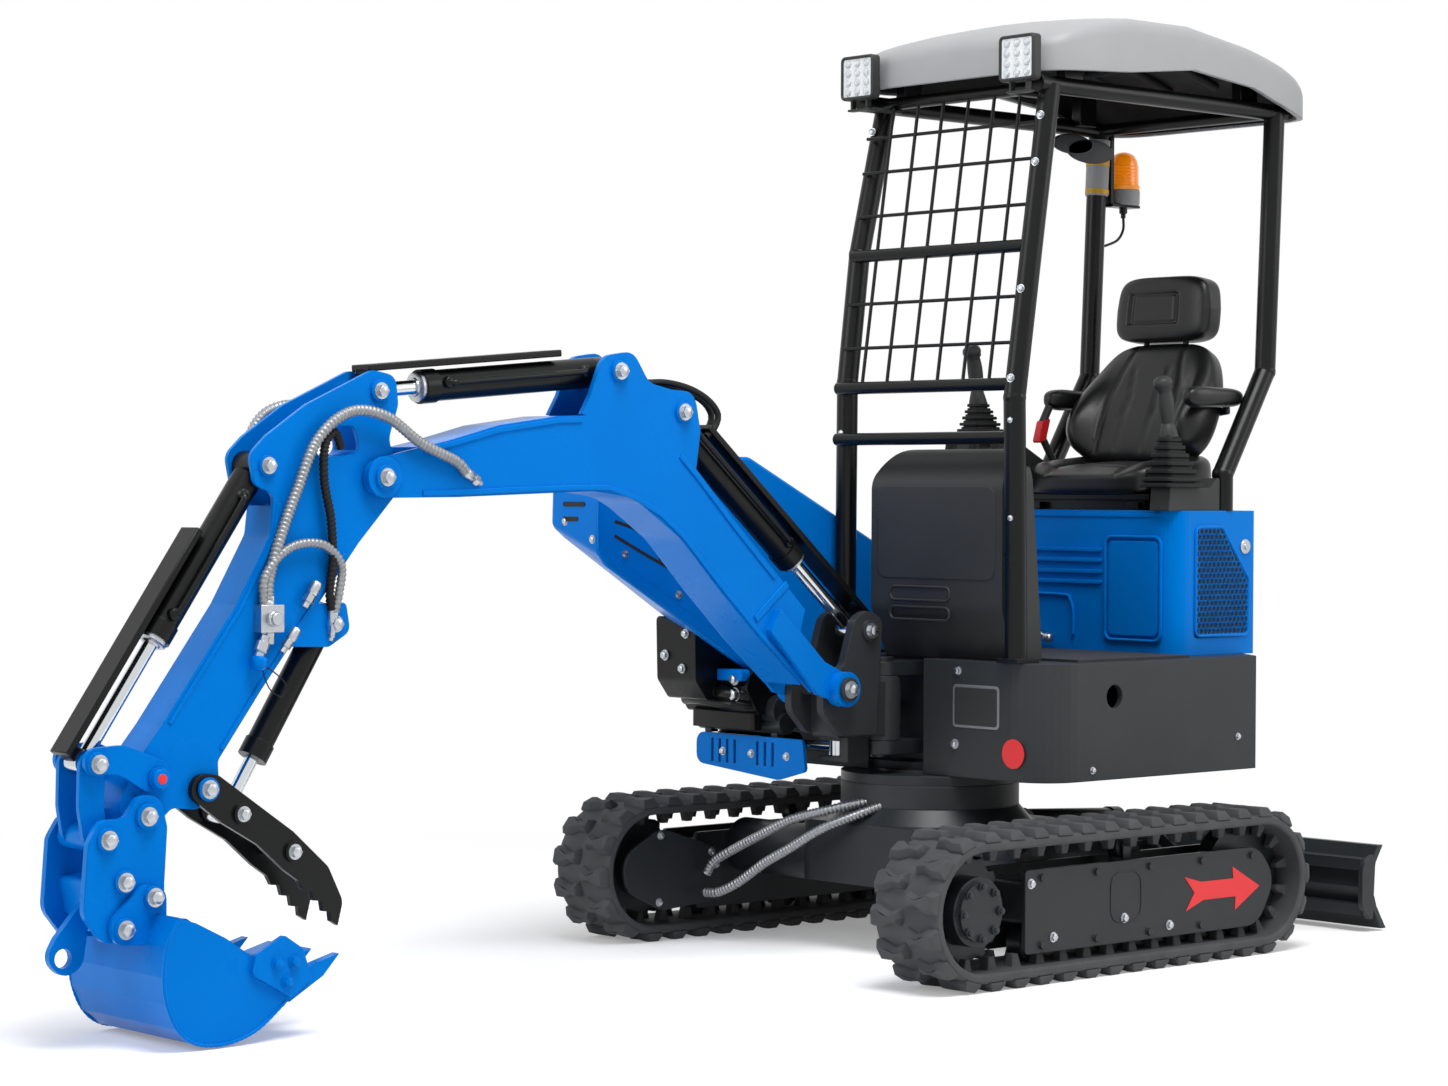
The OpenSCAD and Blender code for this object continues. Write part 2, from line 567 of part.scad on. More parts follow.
swing_len = norm(post_eye - swing_base);
swing_turn = atan2(post_eye[1] - swing_base[1], post_eye[0] - swing_base[0]);
module swing_place() translate([swing_base[0], swing_base[1], swing_z]) rotate([0, 0, swing_turn])
    rotate([90, 0, 0]) children();
module swing_barrel() color(black) swing_place() barrel(218, 24, 12 + fit, 24, 34, 12);
module swing_rod() color(steel) swing_place() rod(swing_len, 70, 12, 22, 32);

boom_half = boom_width / 2;
boom_line = soft([[350, 552, 36], [416, 568, 40], [578, 702], [693, 809], [800, 916, 120],
    [930, 1002, 160], [1040, 1015, 100], [1385, 1002, 60],
  [1560, 1000, 36], [1606, 1016, 30], [1606, 1064, 30], [1560, 1080, 36], [1405, 1113, 60],
      [1281, 1145], [1128, 1166], [990, 1170, 160], [860, 1150, 160],
  [749, 1052], [652, 956], [462, 780], [312, 640, 30], [312, 570, 34]]);
ear_line = soft([[760, 1060], [990, 1160], [1070, 1170], [1046, 1210, 30], [1014, 1290, 40],
    [934, 1302, 36], [890, 1238, 40], [830, 1226, 30],
  [765, 1222, 36], [748, 1140, 30]]);
module boom() color(blue) {
  difference() {
    union() {
      side(boom_line, -boom_half, boom_half);
      mirrored() side(ear_line, boom_half - 12, boom_half);
      mirrored() rod_y(foot, 38, boom_half, 94);
      mirrored() side(soft([[340, 556, 20], [420, 580, 10], [560, 720, 6], [530, 770, 6],
          [400, 650, 10], [330, 620, 20]]), boom_half, post_w + 14);
      mirrored() rod_y(elbow, 40, boom_half, boom_half + 8);
    }
    side(inset(boom_line, plate), -boom_half + plate, boom_half - plate);
    side(soft([[250, 500], [420, 500, 10], [474, 650, 30], [448, 752, 20], [420, 820], [250, 820]])
        , -post_w - 2, post_w + 2);
    side(soft([[1430, 900], [1700, 900], [1700, 1200], [1490, 1200, 20]])
        , -boom_half + plate, boom_half - plate);
    rod_y(foot, pin_r + fit, -120, 120);
    for (p = [lift_top, stick_base]) rod_y(p, 34, -boom_half + 12, boom_half - 12);
  }
  rod_y(elbow, pin_r, -boom_half - 8, boom_half + 8);
  for (p = [lift_top, stick_base]) { rod_y(p, 14, -boom_half, boom_half); heads(p, 22, boom_half); }
  heads(elbow, 24, boom_half + 8);
}
guard_gap = barrel_r + 8;
module rod_guard(length, reach) {
  translate([length - reach, -28, guard_gap]) cube([reach + 10, 56, 12]);
  translate([length - 16, -16, 10]) cube([26, 32, guard_gap - 4]);
}
lift_len = norm(lift_low - lift_top);
module boom_barrel() color(black) along_pins(lift_top, lift_low) barrel(476, barrel_r, rod_r + fit, 30,
    80, 14);
module boom_rod() color(steel) along_pins(lift_top, lift_low) {
  rod(lift_len, 185, rod_r, 26, 42);
  mirror([0, 0, 1]) rod_guard(lift_len, 620);
}
stick_len = norm(stick_eye - stick_base);
module arm_barrel() color(black) along_pins(stick_base, stick_eye) barrel(468, barrel_r, rod_r + fit,
    30, 80, 14);
module arm_rod() color(steel) along_pins(stick_base, stick_eye) {
  rod(stick_len, 145, rod_r, 26, 60);
  rod_guard(stick_len, 470);
}

arm_half = arm_width / 2;
arm_line = soft([[1520, 1010, 20], [1610, 915, 20], [1834, 640], [1930, 512, 20], [1926, 450, 30],
    [1976, 424, 30], [2030, 430, 20], [2080, 386, 30], [2130, 392, 30], [2144, 440, 30],
  [2104, 520, 30], [2052, 582], [1890, 800], [1815, 930, 30], [1806, 1006, 20], [1850, 1024, 20],
      [1862, 1080, 30], [1824, 1116, 30], [1734, 1176, 60], [1641, 1218, 60], [1580, 1246, 30],
  [1524, 1236, 26], [1518, 1180, 40], [1542, 1110, 40], [1520, 1070, 20]]);
module arm() color(blue) {
  difference() {
    union() {
      side(arm_line, -arm_half, arm_half);
      side(soft([[1740, 800], [1640, 800, 10], [1630, 745, 20], [1680, 716, 20], [1800, 720]])
          , -arm_half, arm_half);
    }
    side([[1480, 1300], [1480, 1092], [1640, 1092], [1640, 910], [1846, 650], [1936, 540],
        [2030, 540], [2036, 586], [1876, 798],
      [1790, 940], [1790, 985], [1900, 985], [1900, 1300]], -arm_half + plate, arm_half - plate);
    side([[1600, 870], [1656, 827], [1744, 719], [1720, 660], [1560, 680]], -arm_half + 14, arm_half - 14);
    rod_y(elbow, pin_r + fit, -100, 100);
    side(soft([[1606, 1084, 18], [1716, 1076, 18], [1708, 1130, 18], [1622, 1140, 18]]), -100, 100);
  }
  for (p = [curl_base, thumb_base]) { rod_y(p, 13, -arm_half, arm_half); heads(p, 20, arm_half); }
  heads(stick_eye, 22, arm_half);
  rod_y(link_pin, 14, -arm_half - 14, arm_half + 14);
  heads(link_pin, 22, arm_half + 14);
  rod_y(tip, pin_r, -coupler_width / 2 - 2, coupler_width / 2 + 2);
  heads(tip, 24, coupler_width / 2 + 2);
  rod_y(thumb_pin, 14, -arm_half - 16, arm_half + 16);
  heads(thumb_pin, 22, arm_half + 16);
}
curl_len = norm(link_eye - curl_base);
module bucket_barrel() color(black) along_pins(curl_base, link_eye) barrel(388, 29, 14 + fit, 28, 66, 13);
module bucket_rod() color(steel) along_pins(curl_base, link_eye) {
  rod(curl_len, 205, 14, 24, 40);
  rod_guard(curl_len, 480);
}
module side_links() color(blue) {
  mirrored() difference() {
    side(soft([[2040, 470, 26], [2090, 462, 26], [2150, 500, 60], [2224, 498, 23], [2218, 548, 23],
        [2140, 552, 60], [2046, 516, 28]]), arm_half + 2, arm_half + 13);
    rod_y(link_pin, 14 + fit, 0, 100);
  }
  mirrored() rod_y(link_eye, 13, 27, arm_half + 13);
  heads(link_eye, 22, arm_half + 13);
}
module h_link() color(blue) {
  mirrored() difference() {
    side(soft([[2164, 370, 22], [2212, 370, 22], [2224, 440, 60], [2222, 540, 24], [2170, 540, 24],
        [2172, 440, 60]]), 30, arm_half - 2);
    rod_y(link_eye, 13 + fit, 0, 100);
  }
  rod_y(coupler_eye, 24, -coupler_width / 2 + 17, coupler_width / 2 - 17);
}
front_pin = [2098, 276];
rear_pin = [2159, 222];
coupler_half = coupler_width / 2;
module coupler() color(blue) {
  difference() {
    union() {
      mirrored() side(soft([[2060, 400, 30], [2066, 300, 10], [2066, 270, 12], [2140, 212, 26],
          [2190, 192, 28], [2236, 250, 40], [2226, 380, 30], [2200, 420, 24], [2150, 420, 20],
        [2120, 462, 30], [2074, 456, 30]]), coupler_half - 14, coupler_half);
      side(soft([[2078, 320, 10], [2074, 264, 10], [2130, 258, 10], [2190, 232, 14],
          [2206, 310, 10]]), -coupler_half + 10, coupler_half - 10);
    }
    rod_y(tip, pin_r + fit, -100, 100);
    for (p = [front_pin, rear_pin]) rod_y(p, 14 + fit, -100, 100);
  }
  difference() {
    side(soft([[2178, 262], [2196, 150, 30], [2236, 130, 30], [2272, 168, 30], [2250, 206, 30],
        [2200, 262]]), -8, 8);
    rod_y([2236, 168], 18, -20, 20);
  }
  heads(coupler_eye, 22, coupler_half);
  heads([2151, 306], 22, coupler_half);
}
bucket_half = bucket_width / 2;
bucket_line = [[1830, 88], [1916, 26], [1965, 8], [2014, 4], [2060, 14], [2096, 44], [2118, 92],
    [2124, 140], [2116, 196], [2092, 246], [2053, 232], [1990, 200], [1900, 140]];
bucket_in = [[1830, 100], [1920, 36], [1968, 18], [2013, 14], [2055, 23], [2088, 50], [2108, 95],
    [2113, 140], [2106, 192], [2087, 234]];
module bucket() color(blue) {
  mirrored() side(bucket_line, bucket_half - bucket_plate, bucket_half);
  side(concat([for (i = [0:9]) bucket_line[i]], [for (i = [9:-1:0]) bucket_in[i]])
      , -bucket_half, bucket_half);
  side([[1860, 66], [1870, 80], [1800, 126], [1786, 118]], -bucket_half, bucket_half);
  mirrored() side(soft([[1850, 78, 8], [1940, 130, 14], [1930, 165, 10], [1868, 196, 10],
      [1826, 168, 8], [1806, 110, 8]]), bucket_half, bucket_half + 10);
  for (y = [-150, -50, 50, 150]) side([[1850, 70], [1866, 92], [1800, 134], [1738, 150],
      [1774, 112]], y - 22 * (abs(y) > 100 ? 0.5 : 1), y + 22 * (abs(y) > 100 ? 0.5 : 1));
  difference() {
    mirrored() side(soft([[2070, 232], [2070, 290, 26], [2118, 302, 26], [2190, 236, 26],
        [2180, 196, 24], [2112, 190]]), coupler_half + 2, coupler_half + 14);
    for (p = [front_pin, rear_pin]) rod_y(p, 5, -300, 300);
  }
  for (p = [front_pin, rear_pin]) { rod_y(p, 14, -coupler_half - 14, coupler_half + 14);
      heads(p, 21, coupler_half + 14); }
}
thumb_in = arm_half + 3;
module thumb() color(black) {
  mirrored() difference() {
    side(soft([[2000, 450, 26], [1990, 492, 28], [1940, 488, 30], [1771, 372, 40], [1690, 300, 40],
        [1656, 232, 30], [1668, 186], [1684, 196],
      [1686, 214], [1702, 216], [1706, 236], [1724, 238], [1730, 258], [1748, 260], [1758, 278],
          [1790, 300], [1850, 352, 10], [1930, 398, 20]]), thumb_in, thumb_in + 12);
    rod_y(thumb_pin, 14 + fit, 0, 200);
  }
  rod_y([1771, 334], 13, -thumb_in - 12, thumb_in + 12);
  heads([1771, 334], 20, thumb_in + 12);
  heads(thumb_eye, 20, thumb_in + 12);
}
thumb_len = norm(thumb_eye - thumb_base);
module thumb_barrel() color(black) along_pins(thumb_base, thumb_eye) barrel(296, 26, 13 + fit, 26, 56, 13);
module thumb_rod() color(steel) along_pins(thumb_base, thumb_eye) rod(thumb_len, 120, 13, 24, 80);

track_left();
track_right();
track_frame_left();
track_frame_right();
drive_left();
drive_right();
idler_left();
idler_right();
rollers_left();
rollers_right();
center_frame();
slew_ring();
blade();
blade_barrel();
blade_rod();
main_frame();
lower_shell();
floor_mat();
engine_block();
engine_hood();
hood_grille();
right_cover();
front_frame();
front_guard();
knee_panel();
travel_levers();
seat_base();
seat_cushion();
seat_back();
headrest();
armrests();
consoles();
levers();
canopy_frame();
wire_guard();
roof();
work_lamps();
beacon();
swing_post();
swing_barrel();
swing_rod();
boom();
boom_barrel();
boom_rod();
arm();
arm_barrel();
arm_rod();
bucket_barrel();
bucket_rod();
side_links();
h_link();
coupler();
bucket();
thumb();
thumb_barrel();
thumb_rod();
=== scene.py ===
"""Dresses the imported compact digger: finishes, seat, tracks, hoses, fasteners, lamps and stage."""

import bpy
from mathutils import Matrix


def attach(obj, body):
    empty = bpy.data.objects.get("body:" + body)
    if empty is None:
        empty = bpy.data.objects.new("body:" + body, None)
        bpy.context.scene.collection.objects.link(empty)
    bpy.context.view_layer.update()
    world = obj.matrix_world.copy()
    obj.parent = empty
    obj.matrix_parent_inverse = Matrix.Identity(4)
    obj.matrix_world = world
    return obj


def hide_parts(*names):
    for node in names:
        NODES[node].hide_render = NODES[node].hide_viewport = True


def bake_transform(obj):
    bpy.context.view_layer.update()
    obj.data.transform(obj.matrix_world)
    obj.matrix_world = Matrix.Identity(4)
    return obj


bl_info = {
    "name": "Compact digger dressing",
    "version": (1, 0, 0),
    "blender": (4, 5, 0),
    "location": "View3D > Sidebar > Digger",
    "description": "Finishes and fine pieces for a small tracked digger built round its CAD frame",
    "category": "Object",
}

import math

import bmesh
import bpy
from bpy.props import FloatProperty, IntProperty, PointerProperty, StringProperty
from mathutils import Matrix, Vector

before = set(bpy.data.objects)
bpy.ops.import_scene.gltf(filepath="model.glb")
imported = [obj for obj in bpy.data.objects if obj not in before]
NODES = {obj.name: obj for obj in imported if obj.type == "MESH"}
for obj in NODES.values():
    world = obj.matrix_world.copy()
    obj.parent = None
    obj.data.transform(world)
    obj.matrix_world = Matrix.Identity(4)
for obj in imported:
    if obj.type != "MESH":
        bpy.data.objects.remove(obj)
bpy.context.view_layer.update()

# pins of the work group in the side view, in millimetres: (x, z)
FOOT, LIFT_LOW, LIFT_TOP = (350, 590), (252, 714), (797, 1180)
STICK_BASE, ELBOW, STICK_EYE = (971, 1260), (1565, 1040), (1563, 1206)
CURL_BASE, LINK_PIN, LINK_EYE = (1822, 1060), (2068, 487), (2195, 520)
TIP, COUPLER_EYE, SAFETY_PIN = (2104, 422), (2186, 384), (2151, 306)
FRONT_PIN, REAR_PIN = (2098, 276), (2159, 222)
THUMB_PIN, THUMB_EYE, THUMB_BASE, THUMB_BOLT = (1962, 462), (1886, 412), (1668, 760), (1771, 334)
BLADE_PIN = (-360, 175)
# deck's top, middle of the seat, and the canopy: left and right posts, eave and middle
DECK, SEAT_Y = 650, 95
LEFT_Y, RIGHT_Y, EAVE, CAB_Y = 350, -190, 1900, 80
# foot of the work lamps, middle of the beacon
LAMP_LOW, BEACON_X = 1885.6, -862
# faces that fine pieces sit on: hood's front, shell's front, knee panel, right cover's left side,
# sides of boom and arm
HOOD_X, SHELL_X, KNEE_X, COVER_Y, BOOM_Y, ARM_Y = -396, 110, 110, -222, 57, 42
# the track loop: end's middle, end's radius over the lugs, lug height, belt thickness, count of lugs,
# middle of a track
END_X, END_R, LUG, BELT, LUGS, TRACK_Y = 447.5, 162.5, 18, 20, 37, 510
# tint of the blue paint's reflections
PAINT_TINT = (0.0, 0.5, 1.0, 1.0)
# the picture's camera: place in metres, turns in radians, focal length and picture's width in pixels,
# sensor in millimetres
EYE, YAW, PITCH, ROLL = (5.4118, 5.279, 1.0135), -2.307, -0.015, 0.005
FOCAL_PX, PICTURE_PX, SENSOR = 3360, 1448, 36
# steps along a guarded and a plain hose, and the share of its radius between the turns of a guard
SPIRAL_STEP, PLAIN_STEP, SPIRAL_WAIST = 2.1, 8, 0.84
# studio lamps: place and side in metres, watts; the point that they face; half the floor's side in metres
LAMPS = {
    "key_light": ((1.6, 2.4, 6.2), 3.2, 360),
    "side_light": ((-3.5, 4.6, 3.4), 3.0, 75),
    "front_light": ((5.5, -1.5, 3.0), 3.0, 85),
}
LAMP_AIM, FLOOR_HALF = (0.5, 0, 0.8), 30

# filled by the stage and finishes operators
MATERIALS, TREES = {}, {}


# small tools
def linear(code):
    """An sRGB hex colour as linear RGBA."""
    parts = [int(code.lstrip("#")[i : i + 2], 16) / 255 for i in (0, 2, 4)]
    return (*[c / 12.92 if c <= 0.04045 else ((c + 0.055) / 1.055) ** 2.4 for c in parts], 1.0)


def add(tree, kind, inputs=None, **settings):
    """Adds a node with its settings; an input is a value or the socket that feeds it."""
    node = tree.nodes.new(kind)
    for key, value in settings.items():
        setattr(node, key, value)
    for key, value in (inputs or {}).items():
        if isinstance(value, bpy.types.NodeSocket):
            tree.links.new(value, node.inputs[key])
        else:
            node.inputs[key].default_value = value
    return node


def smooth_route(points, step=6.0):
    """A smooth curve through the points, sampled about every step millimetres."""
    pts = [Vector(p) for p in points]
    ends = [pts[0] * 2 - pts[1]] + pts + [pts[-1] * 2 - pts[-2]]
    out = []
    for i in range(1, len(ends) - 2):
        a, b, c, d = ends[i - 1 : i + 3]
        n = max(2, int((c - b).length / step))
        for k in range(n):
            t = k / n
            square, cube = 2 * a - 5 * b + 4 * c - d, 3 * b - a - 3 * c + d
            out.append(0.5 * (2 * b + (c - a) * t + square * t * t + cube * t**3))
    out.append(pts[-1])
    return out


def rounded(points, n=4):
    """An outline whose corners (a, b, radius) are turned to arcs."""
    out, k = [], len(points)
    for i, p in enumerate(points):
        b = Vector(p[:2])
        if len(p) < 3 or not p[2]:
            out.append(tuple(b))
            continue
        u = (Vector(points[i - 1][:2]) - b).normalized()
        v = (Vector(points[(i + 1) % k][:2]) - b).normalized()
        h = u.angle(v) / 2
        m = b + (u + v).normalized() * p[2] / math.sin(h)
        s, e = b + u * p[2] / math.tan(h) - m, b + v * p[2] / math.tan(h) - m
        a0 = math.atan2(s.y, s.x)
        d = (math.atan2(e.y, e.x) - a0 + math.pi) % (2 * math.pi) - math.pi
        turns = [a0 + d * j / n for j in range(n + 1)]
        out += [(m.x + p[2] * math.cos(a), m.y + p[2] * math.sin(a)) for a in turns]
    return out


def along(table, x):
    """A value on the smooth curve through the rows (x, value) of a table that falls in x."""
    last = len(table) - 1

    def slope(i):
        (x0, v0), (x1, v1) = table[max(i - 1, 0)], table[min(i + 1, last)]
        return (v1 - v0) / (x1 - x0)

    for i, ((x0, v0), (x1, v1)) in enumerate(zip(table, table[1:])):
        if x >= x1 or i == last - 1:
            w = x1 - x0
            t = min(1.0, max(0.0, (x - x0) / w))
            a, b = slope(i) * w, slope(i + 1) * w
            return v0 + a * t + (3 * (v1 - v0) - 2 * a - b) * t * t + (2 * (v0 - v1) + a + b) * t**3


def slab(a0, a1, b0, b1, r):
    """A rectangle with rounded corners, as an outline."""
    return rounded([(a0, b0, r), (a1, b0, r), (a1, b1, r), (a0, b1, r)])


class Shape:
    """A piece in the making, in millimetres."""

    PLANES = {"xz": (0, 2, 1), "xy": (0, 1, 2), "yz": (1, 2, 0)}

    def __init__(self):
        self.bm = bmesh.new()

    def raised(self, outline, plane, level):
        """The points of an outline at a level of its plane."""
        i, j, k = self.PLANES[plane]
        points = [Vector() for _ in outline]
        for point, p in zip(points, outline):
            point[i], point[j], point[k] = p[0], p[1], level
        return points

    def bridge(self, rings):
        """Faces between each ring of vertices and the next."""
        n = len(rings[0])
        for a, b in zip(rings, rings[1:]):
            for q in range(n):
                self.bm.faces.new((a[q], a[(q + 1) % n], b[(q + 1) % n], b[q]))

    def prism(self, outline, plane, lo, hi, far=None):
        """An outline in a plane, drawn out from lo to hi, where it may have turned into the far outline."""
        ends = self.raised(outline, plane, lo), self.raised(far or outline, plane, hi)
        rings = [[self.bm.verts.new(p) for p in end] for end in ends]
        self.bridge(rings)
        self.bm.faces.new(rings[0])
        self.bm.faces.new(rings[1])
        return self

    def box(self, lo, hi):
        """A block between two corners."""
        return self.prism([(lo[0], lo[1]), (hi[0], lo[1]), (hi[0], hi[1]), (lo[0], hi[1])], "xy", lo[2],
                          hi[2])

    def tube(self, path, radius, sides=12):
        """A round tube along a path; radius is a number or one for each point."""
        pts = [Vector(p) for p in path]
        radii = list(radius) if hasattr(radius, "__len__") else [radius] * len(pts)
        turns = [2 * math.pi * q / sides for q in range(sides)]
        normal, rings = None, []
        for i, p in enumerate(pts):
            d = (pts[min(i + 1, len(pts) - 1)] - pts[max(i - 1, 0)]).normalized()
            if normal is None:
                normal = d.orthogonal().normalized()
            normal = (normal - d * normal.dot(d)).normalized()
            side = d.cross(normal)
            rings.append([self.bm.verts.new(p + radii[i] * (normal * math.cos(a) + side * math.sin(a)))
                          for a in turns])
        self.bridge(rings)
        self.bm.faces.new(rings[0])
        self.bm.faces.new(rings[-1])
        return self

    def hoop(self, outline, plane, level, radius):
        """A round bead along a closed outline."""
        ring = self.raised(outline, plane, level)
        return self.tube(ring + [ring[0]], radius, 8)

    def turned(self, at, axis, profile, sides=28):
        """A turned piece: profile is (height along the axis, radius), and the heights rise."""
        axis = Vector(axis).normalized()
        base = Vector(at)
        return self.tube([base + axis * h for h, _ in profile], [max(r, 0.05) for _, r in profile], sides)

    def cap(self, rings):
        """A closed skin through rings of equal count, the first and last drawn to a point."""
        loops = [[self.bm.verts.new(p) for p in ring] for ring in rings]
        n = len(loops[0])
        self.bridge(loops)
        for loop, ring in ((loops[0], rings[0]), (loops[-1], rings[-1])):
            tip = self.bm.verts.new(sum((Vector(p) for p in ring), Vector()) / n)
            for q in range(n):
                self.bm.faces.new((loop[q], loop[(q + 1) % n], tip))
        return self

    def strip(self, line, width, plane, lo, hi):
        """A flat strip beside a line of points."""
        pts = [Vector(p) for p in line]
        other = []
        for i, p in enumerate(pts):
            d = (pts[min(i + 1, len(pts) - 1)] - pts[max(i - 1, 0)]).normalized()
            other.append(p + Vector((-d.y, d.x)) * width)
        return self.prism(pts + other[::-1], plane, lo, hi)

    def side_strips(self, strips, near, far):
        """Strips (line of the side view, width) on the left and right faces of a box section."""
        for s in (1, -1):
            for line, width in strips:
                self.strip(line, width, "xz", *sorted((s * near, s * far)))
        return self

    def piece(self, name, material, body, slot, bevel=0.0, angle=32, stand_for=()):
        """Closes the shape, in metres, as a piece that rides on a body."""
        bm = self.bm
        bmesh.ops.remove_doubles(bm, verts=bm.verts, dist=0.001)
        bmesh.ops.recalc_face_normals(bm, faces=bm.faces)
        bmesh.ops.scale(bm, vec=(0.001, 0.001, 0.001), verts=bm.verts)
        mesh = bpy.data.meshes.new(name)
        bm.to_mesh(mesh)
        bm.free()
        return settle(name, mesh, material, body, bevel, angle, stand_for)


def settle(name, mesh, material, body, bevel=0.0, angle=32, stand_for=()):
    """Makes an object of a mesh, shades it and gives it its body, finish slot and nodes."""
    obj = bpy.data.objects.new(name, mesh)
    bpy.context.scene.collection.objects.link(obj)
    mesh.materials.clear()
    mesh.materials.append(MATERIALS[material])
    mesh.polygons.foreach_set("use_smooth", [True] * len(mesh.polygons))
    mesh.set_sharp_from_angle(angle=math.radians(angle))
    if bevel:
        edge = obj.modifiers.new("soft_edge", "BEVEL")
        edge.width, edge.segments, edge.limit_method = bevel / 1000, 2, "ANGLE"
        edge.angle_limit = math.radians(angle)
    if stand_for:
        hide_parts(*stand_for)
    if body:
        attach(obj, body)
    return obj


def run_tree(tree, mesh, values):
    """Runs a node tree on a mesh of points and returns the plain mesh that it makes."""
    obj = bpy.data.objects.new("tree_run", mesh)
    bpy.context.scene.collection.objects.link(obj)
    mod = obj.modifiers.new("tree", "NODES")
    mod.node_group = tree
    for item in tree.interface.items_tree:
        if item.item_type == "SOCKET" and item.in_out == "INPUT" and item.name in values:
            mod[item.identifier] = values[item.name]
    graph = bpy.context.evaluated_depsgraph_get()
    made = bpy.data.meshes.new_from_object(obj.evaluated_get(graph), depsgraph=graph)
    bpy.data.objects.remove(obj)
    return made


def point_mesh(places):
    """A mesh of bare points with their facing and size: (point, facing, size) in millimetres."""
    mesh = bpy.data.meshes.new("places")
    mesh.from_pydata([[c / 1000 for c in p] for p, _, _ in places], [], [])
    facing = mesh.attributes.new("facing", "FLOAT_VECTOR", "POINT")
    facing.data.foreach_set("vector", [c for _, f, _ in places for c in Vector(f).normalized()])
    size = mesh.attributes.new("size", "FLOAT", "POINT")
    size.data.foreach_set("value", [s / 1000 for _, _, s in places])
    return mesh


def new_tree(name, inputs):
    """An empty geometry tree with named inputs, and its input node."""
    tree = bpy.data.node_groups.new(name, "GeometryNodeTree")
    for label, kind, value in inputs:
        socket = tree.interface.new_socket(name=label, in_out="INPUT", socket_type=kind)
        if value is not None:
            socket.default_value = value
    tree.interface.new_socket(name="Geometry", in_out="OUTPUT", socket_type="NodeSocketGeometry")
    return tree, add(tree, "NodeGroupInput").outputs


def place_on_points(tree, given, instance):
    """Ends a tree: the instance on each point, turned and scaled to suit, made real and finished."""
    facing = add(tree, "GeometryNodeInputNamedAttribute", {"Name": "facing"}, data_type="FLOAT_VECTOR")
    size = add(tree, "GeometryNodeInputNamedAttribute", {"Name": "size"}, data_type="FLOAT")
    turn = add(tree, "FunctionNodeAlignRotationToVector", {"Vector": facing.outputs["Attribute"]}, axis="Z")
    put = add(tree, "GeometryNodeInstanceOnPoints", {
        "Points": given["Points"], "Instance": instance,
        "Rotation": turn.outputs["Rotation"], "Scale": size.outputs["Attribute"]})
    real = add(tree, "GeometryNodeRealizeInstances", {"Geometry": put.outputs["Instances"]})
    done = add(tree, "GeometryNodeSetMaterial",
               {"Geometry": real.outputs["Geometry"], "Material": given["Finish"]})
    add(tree, "NodeGroupOutput", {"Geometry": done.outputs["Geometry"]})
    return tree


def bolt_tree():
    """Hex head on a washer, one on each point."""
    tree, given = new_tree("bolt_heads", [
        ("Points", "NodeSocketGeometry", None), ("Head height", "NodeSocketFloat", 0.9),
        ("Washer radius", "NodeSocketFloat", 1.35), ("Finish", "NodeSocketMaterial", None)])
    head = add(tree, "GeometryNodeMeshCylinder",
               {"Vertices": 6, "Radius": 1.0, "Depth": given["Head height"]})
    crown = add(tree, "GeometryNodeMeshCone",
                {"Vertices": 24, "Radius Top": 0.62, "Radius Bottom": 0.82, "Depth": 0.12})
    washer = add(tree, "GeometryNodeMeshCylinder",
                 {"Vertices": 24, "Radius": given["Washer radius"], "Depth": 0.3})
    half = add(tree, "ShaderNodeMath", {0: given["Head height"], 1: 0.5}, operation="MULTIPLY")
    up = add(tree, "ShaderNodeCombineXYZ", {"Z": half.outputs[0]})
    top = add(tree, "ShaderNodeCombineXYZ", {"Z": given["Head height"]})
    lifted = add(tree, "GeometryNodeTransform",
                 {"Geometry": head.outputs["Mesh"], "Translation": up.outputs[0]})
    capped = add(tree, "GeometryNodeTransform",
                 {"Geometry": crown.outputs["Mesh"], "Translation": top.outputs[0]})
    joined = add(tree, "GeometryNodeJoinGeometry", {"Geometry": washer.outputs["Mesh"]})
    for part in (lifted, capped):
        tree.links.new(part.outputs["Geometry"], joined.inputs["Geometry"])
    return place_on_points(tree, given, joined.outputs["Geometry"])


def honeycomb_tree():
    """A six-sided ring, one on each point."""
    tree, given = new_tree("honeycomb", [
        ("Points", "NodeSocketGeometry", None), ("Wall", "NodeSocketFloat", 0.2),
        ("Depth", "NodeSocketFloat", 0.5), ("Finish", "NodeSocketMaterial", None)])
    ring = add(tree, "GeometryNodeCurvePrimitiveCircle", {"Resolution": 6, "Radius": 1.0}, mode="RADIUS")
    section = add(tree, "GeometryNodeCurvePrimitiveQuadrilateral",
                  {"Width": given["Wall"], "Height": given["Depth"]})
    cell = add(tree, "GeometryNodeCurveToMesh",
               {"Curve": ring.outputs["Curve"], "Profile Curve": section.outputs["Curve"]})
    return place_on_points(tree, given, cell.outputs["Mesh"])


def led_tree():
    """A low round lens, one on each point."""
    tree, given = new_tree("led_lenses", [
        ("Points", "NodeSocketGeometry", None), ("Lens radius", "NodeSocketFloat", 0.8),
        ("Finish", "NodeSocketMaterial", None)])
    ball = add(tree, "GeometryNodeMeshUVSphere", {"Segments": 16, "Rings": 8, "Radius": given["Lens radius"]})
    low = add(tree, "GeometryNodeTransform", {"Geometry": ball.outputs["Mesh"], "Scale": (1, 1, 0.45)})
    return place_on_points(tree, given, low.outputs["Geometry"])


# finishes
def new_finish(name):
    """An empty material: its tree, its shader and its object coordinates in metres."""
    material = bpy.data.materials.new(name)
    material.use_nodes = True
    tree = material.node_tree
    tree.nodes.clear()
    shader = add(tree, "ShaderNodeBsdfPrincipled")
    add(tree, "ShaderNodeOutputMaterial", {"Surface": shader.outputs["BSDF"]})
    MATERIALS[name] = material
    return tree, shader, add(tree, "ShaderNodeTexCoord").outputs["Object"]


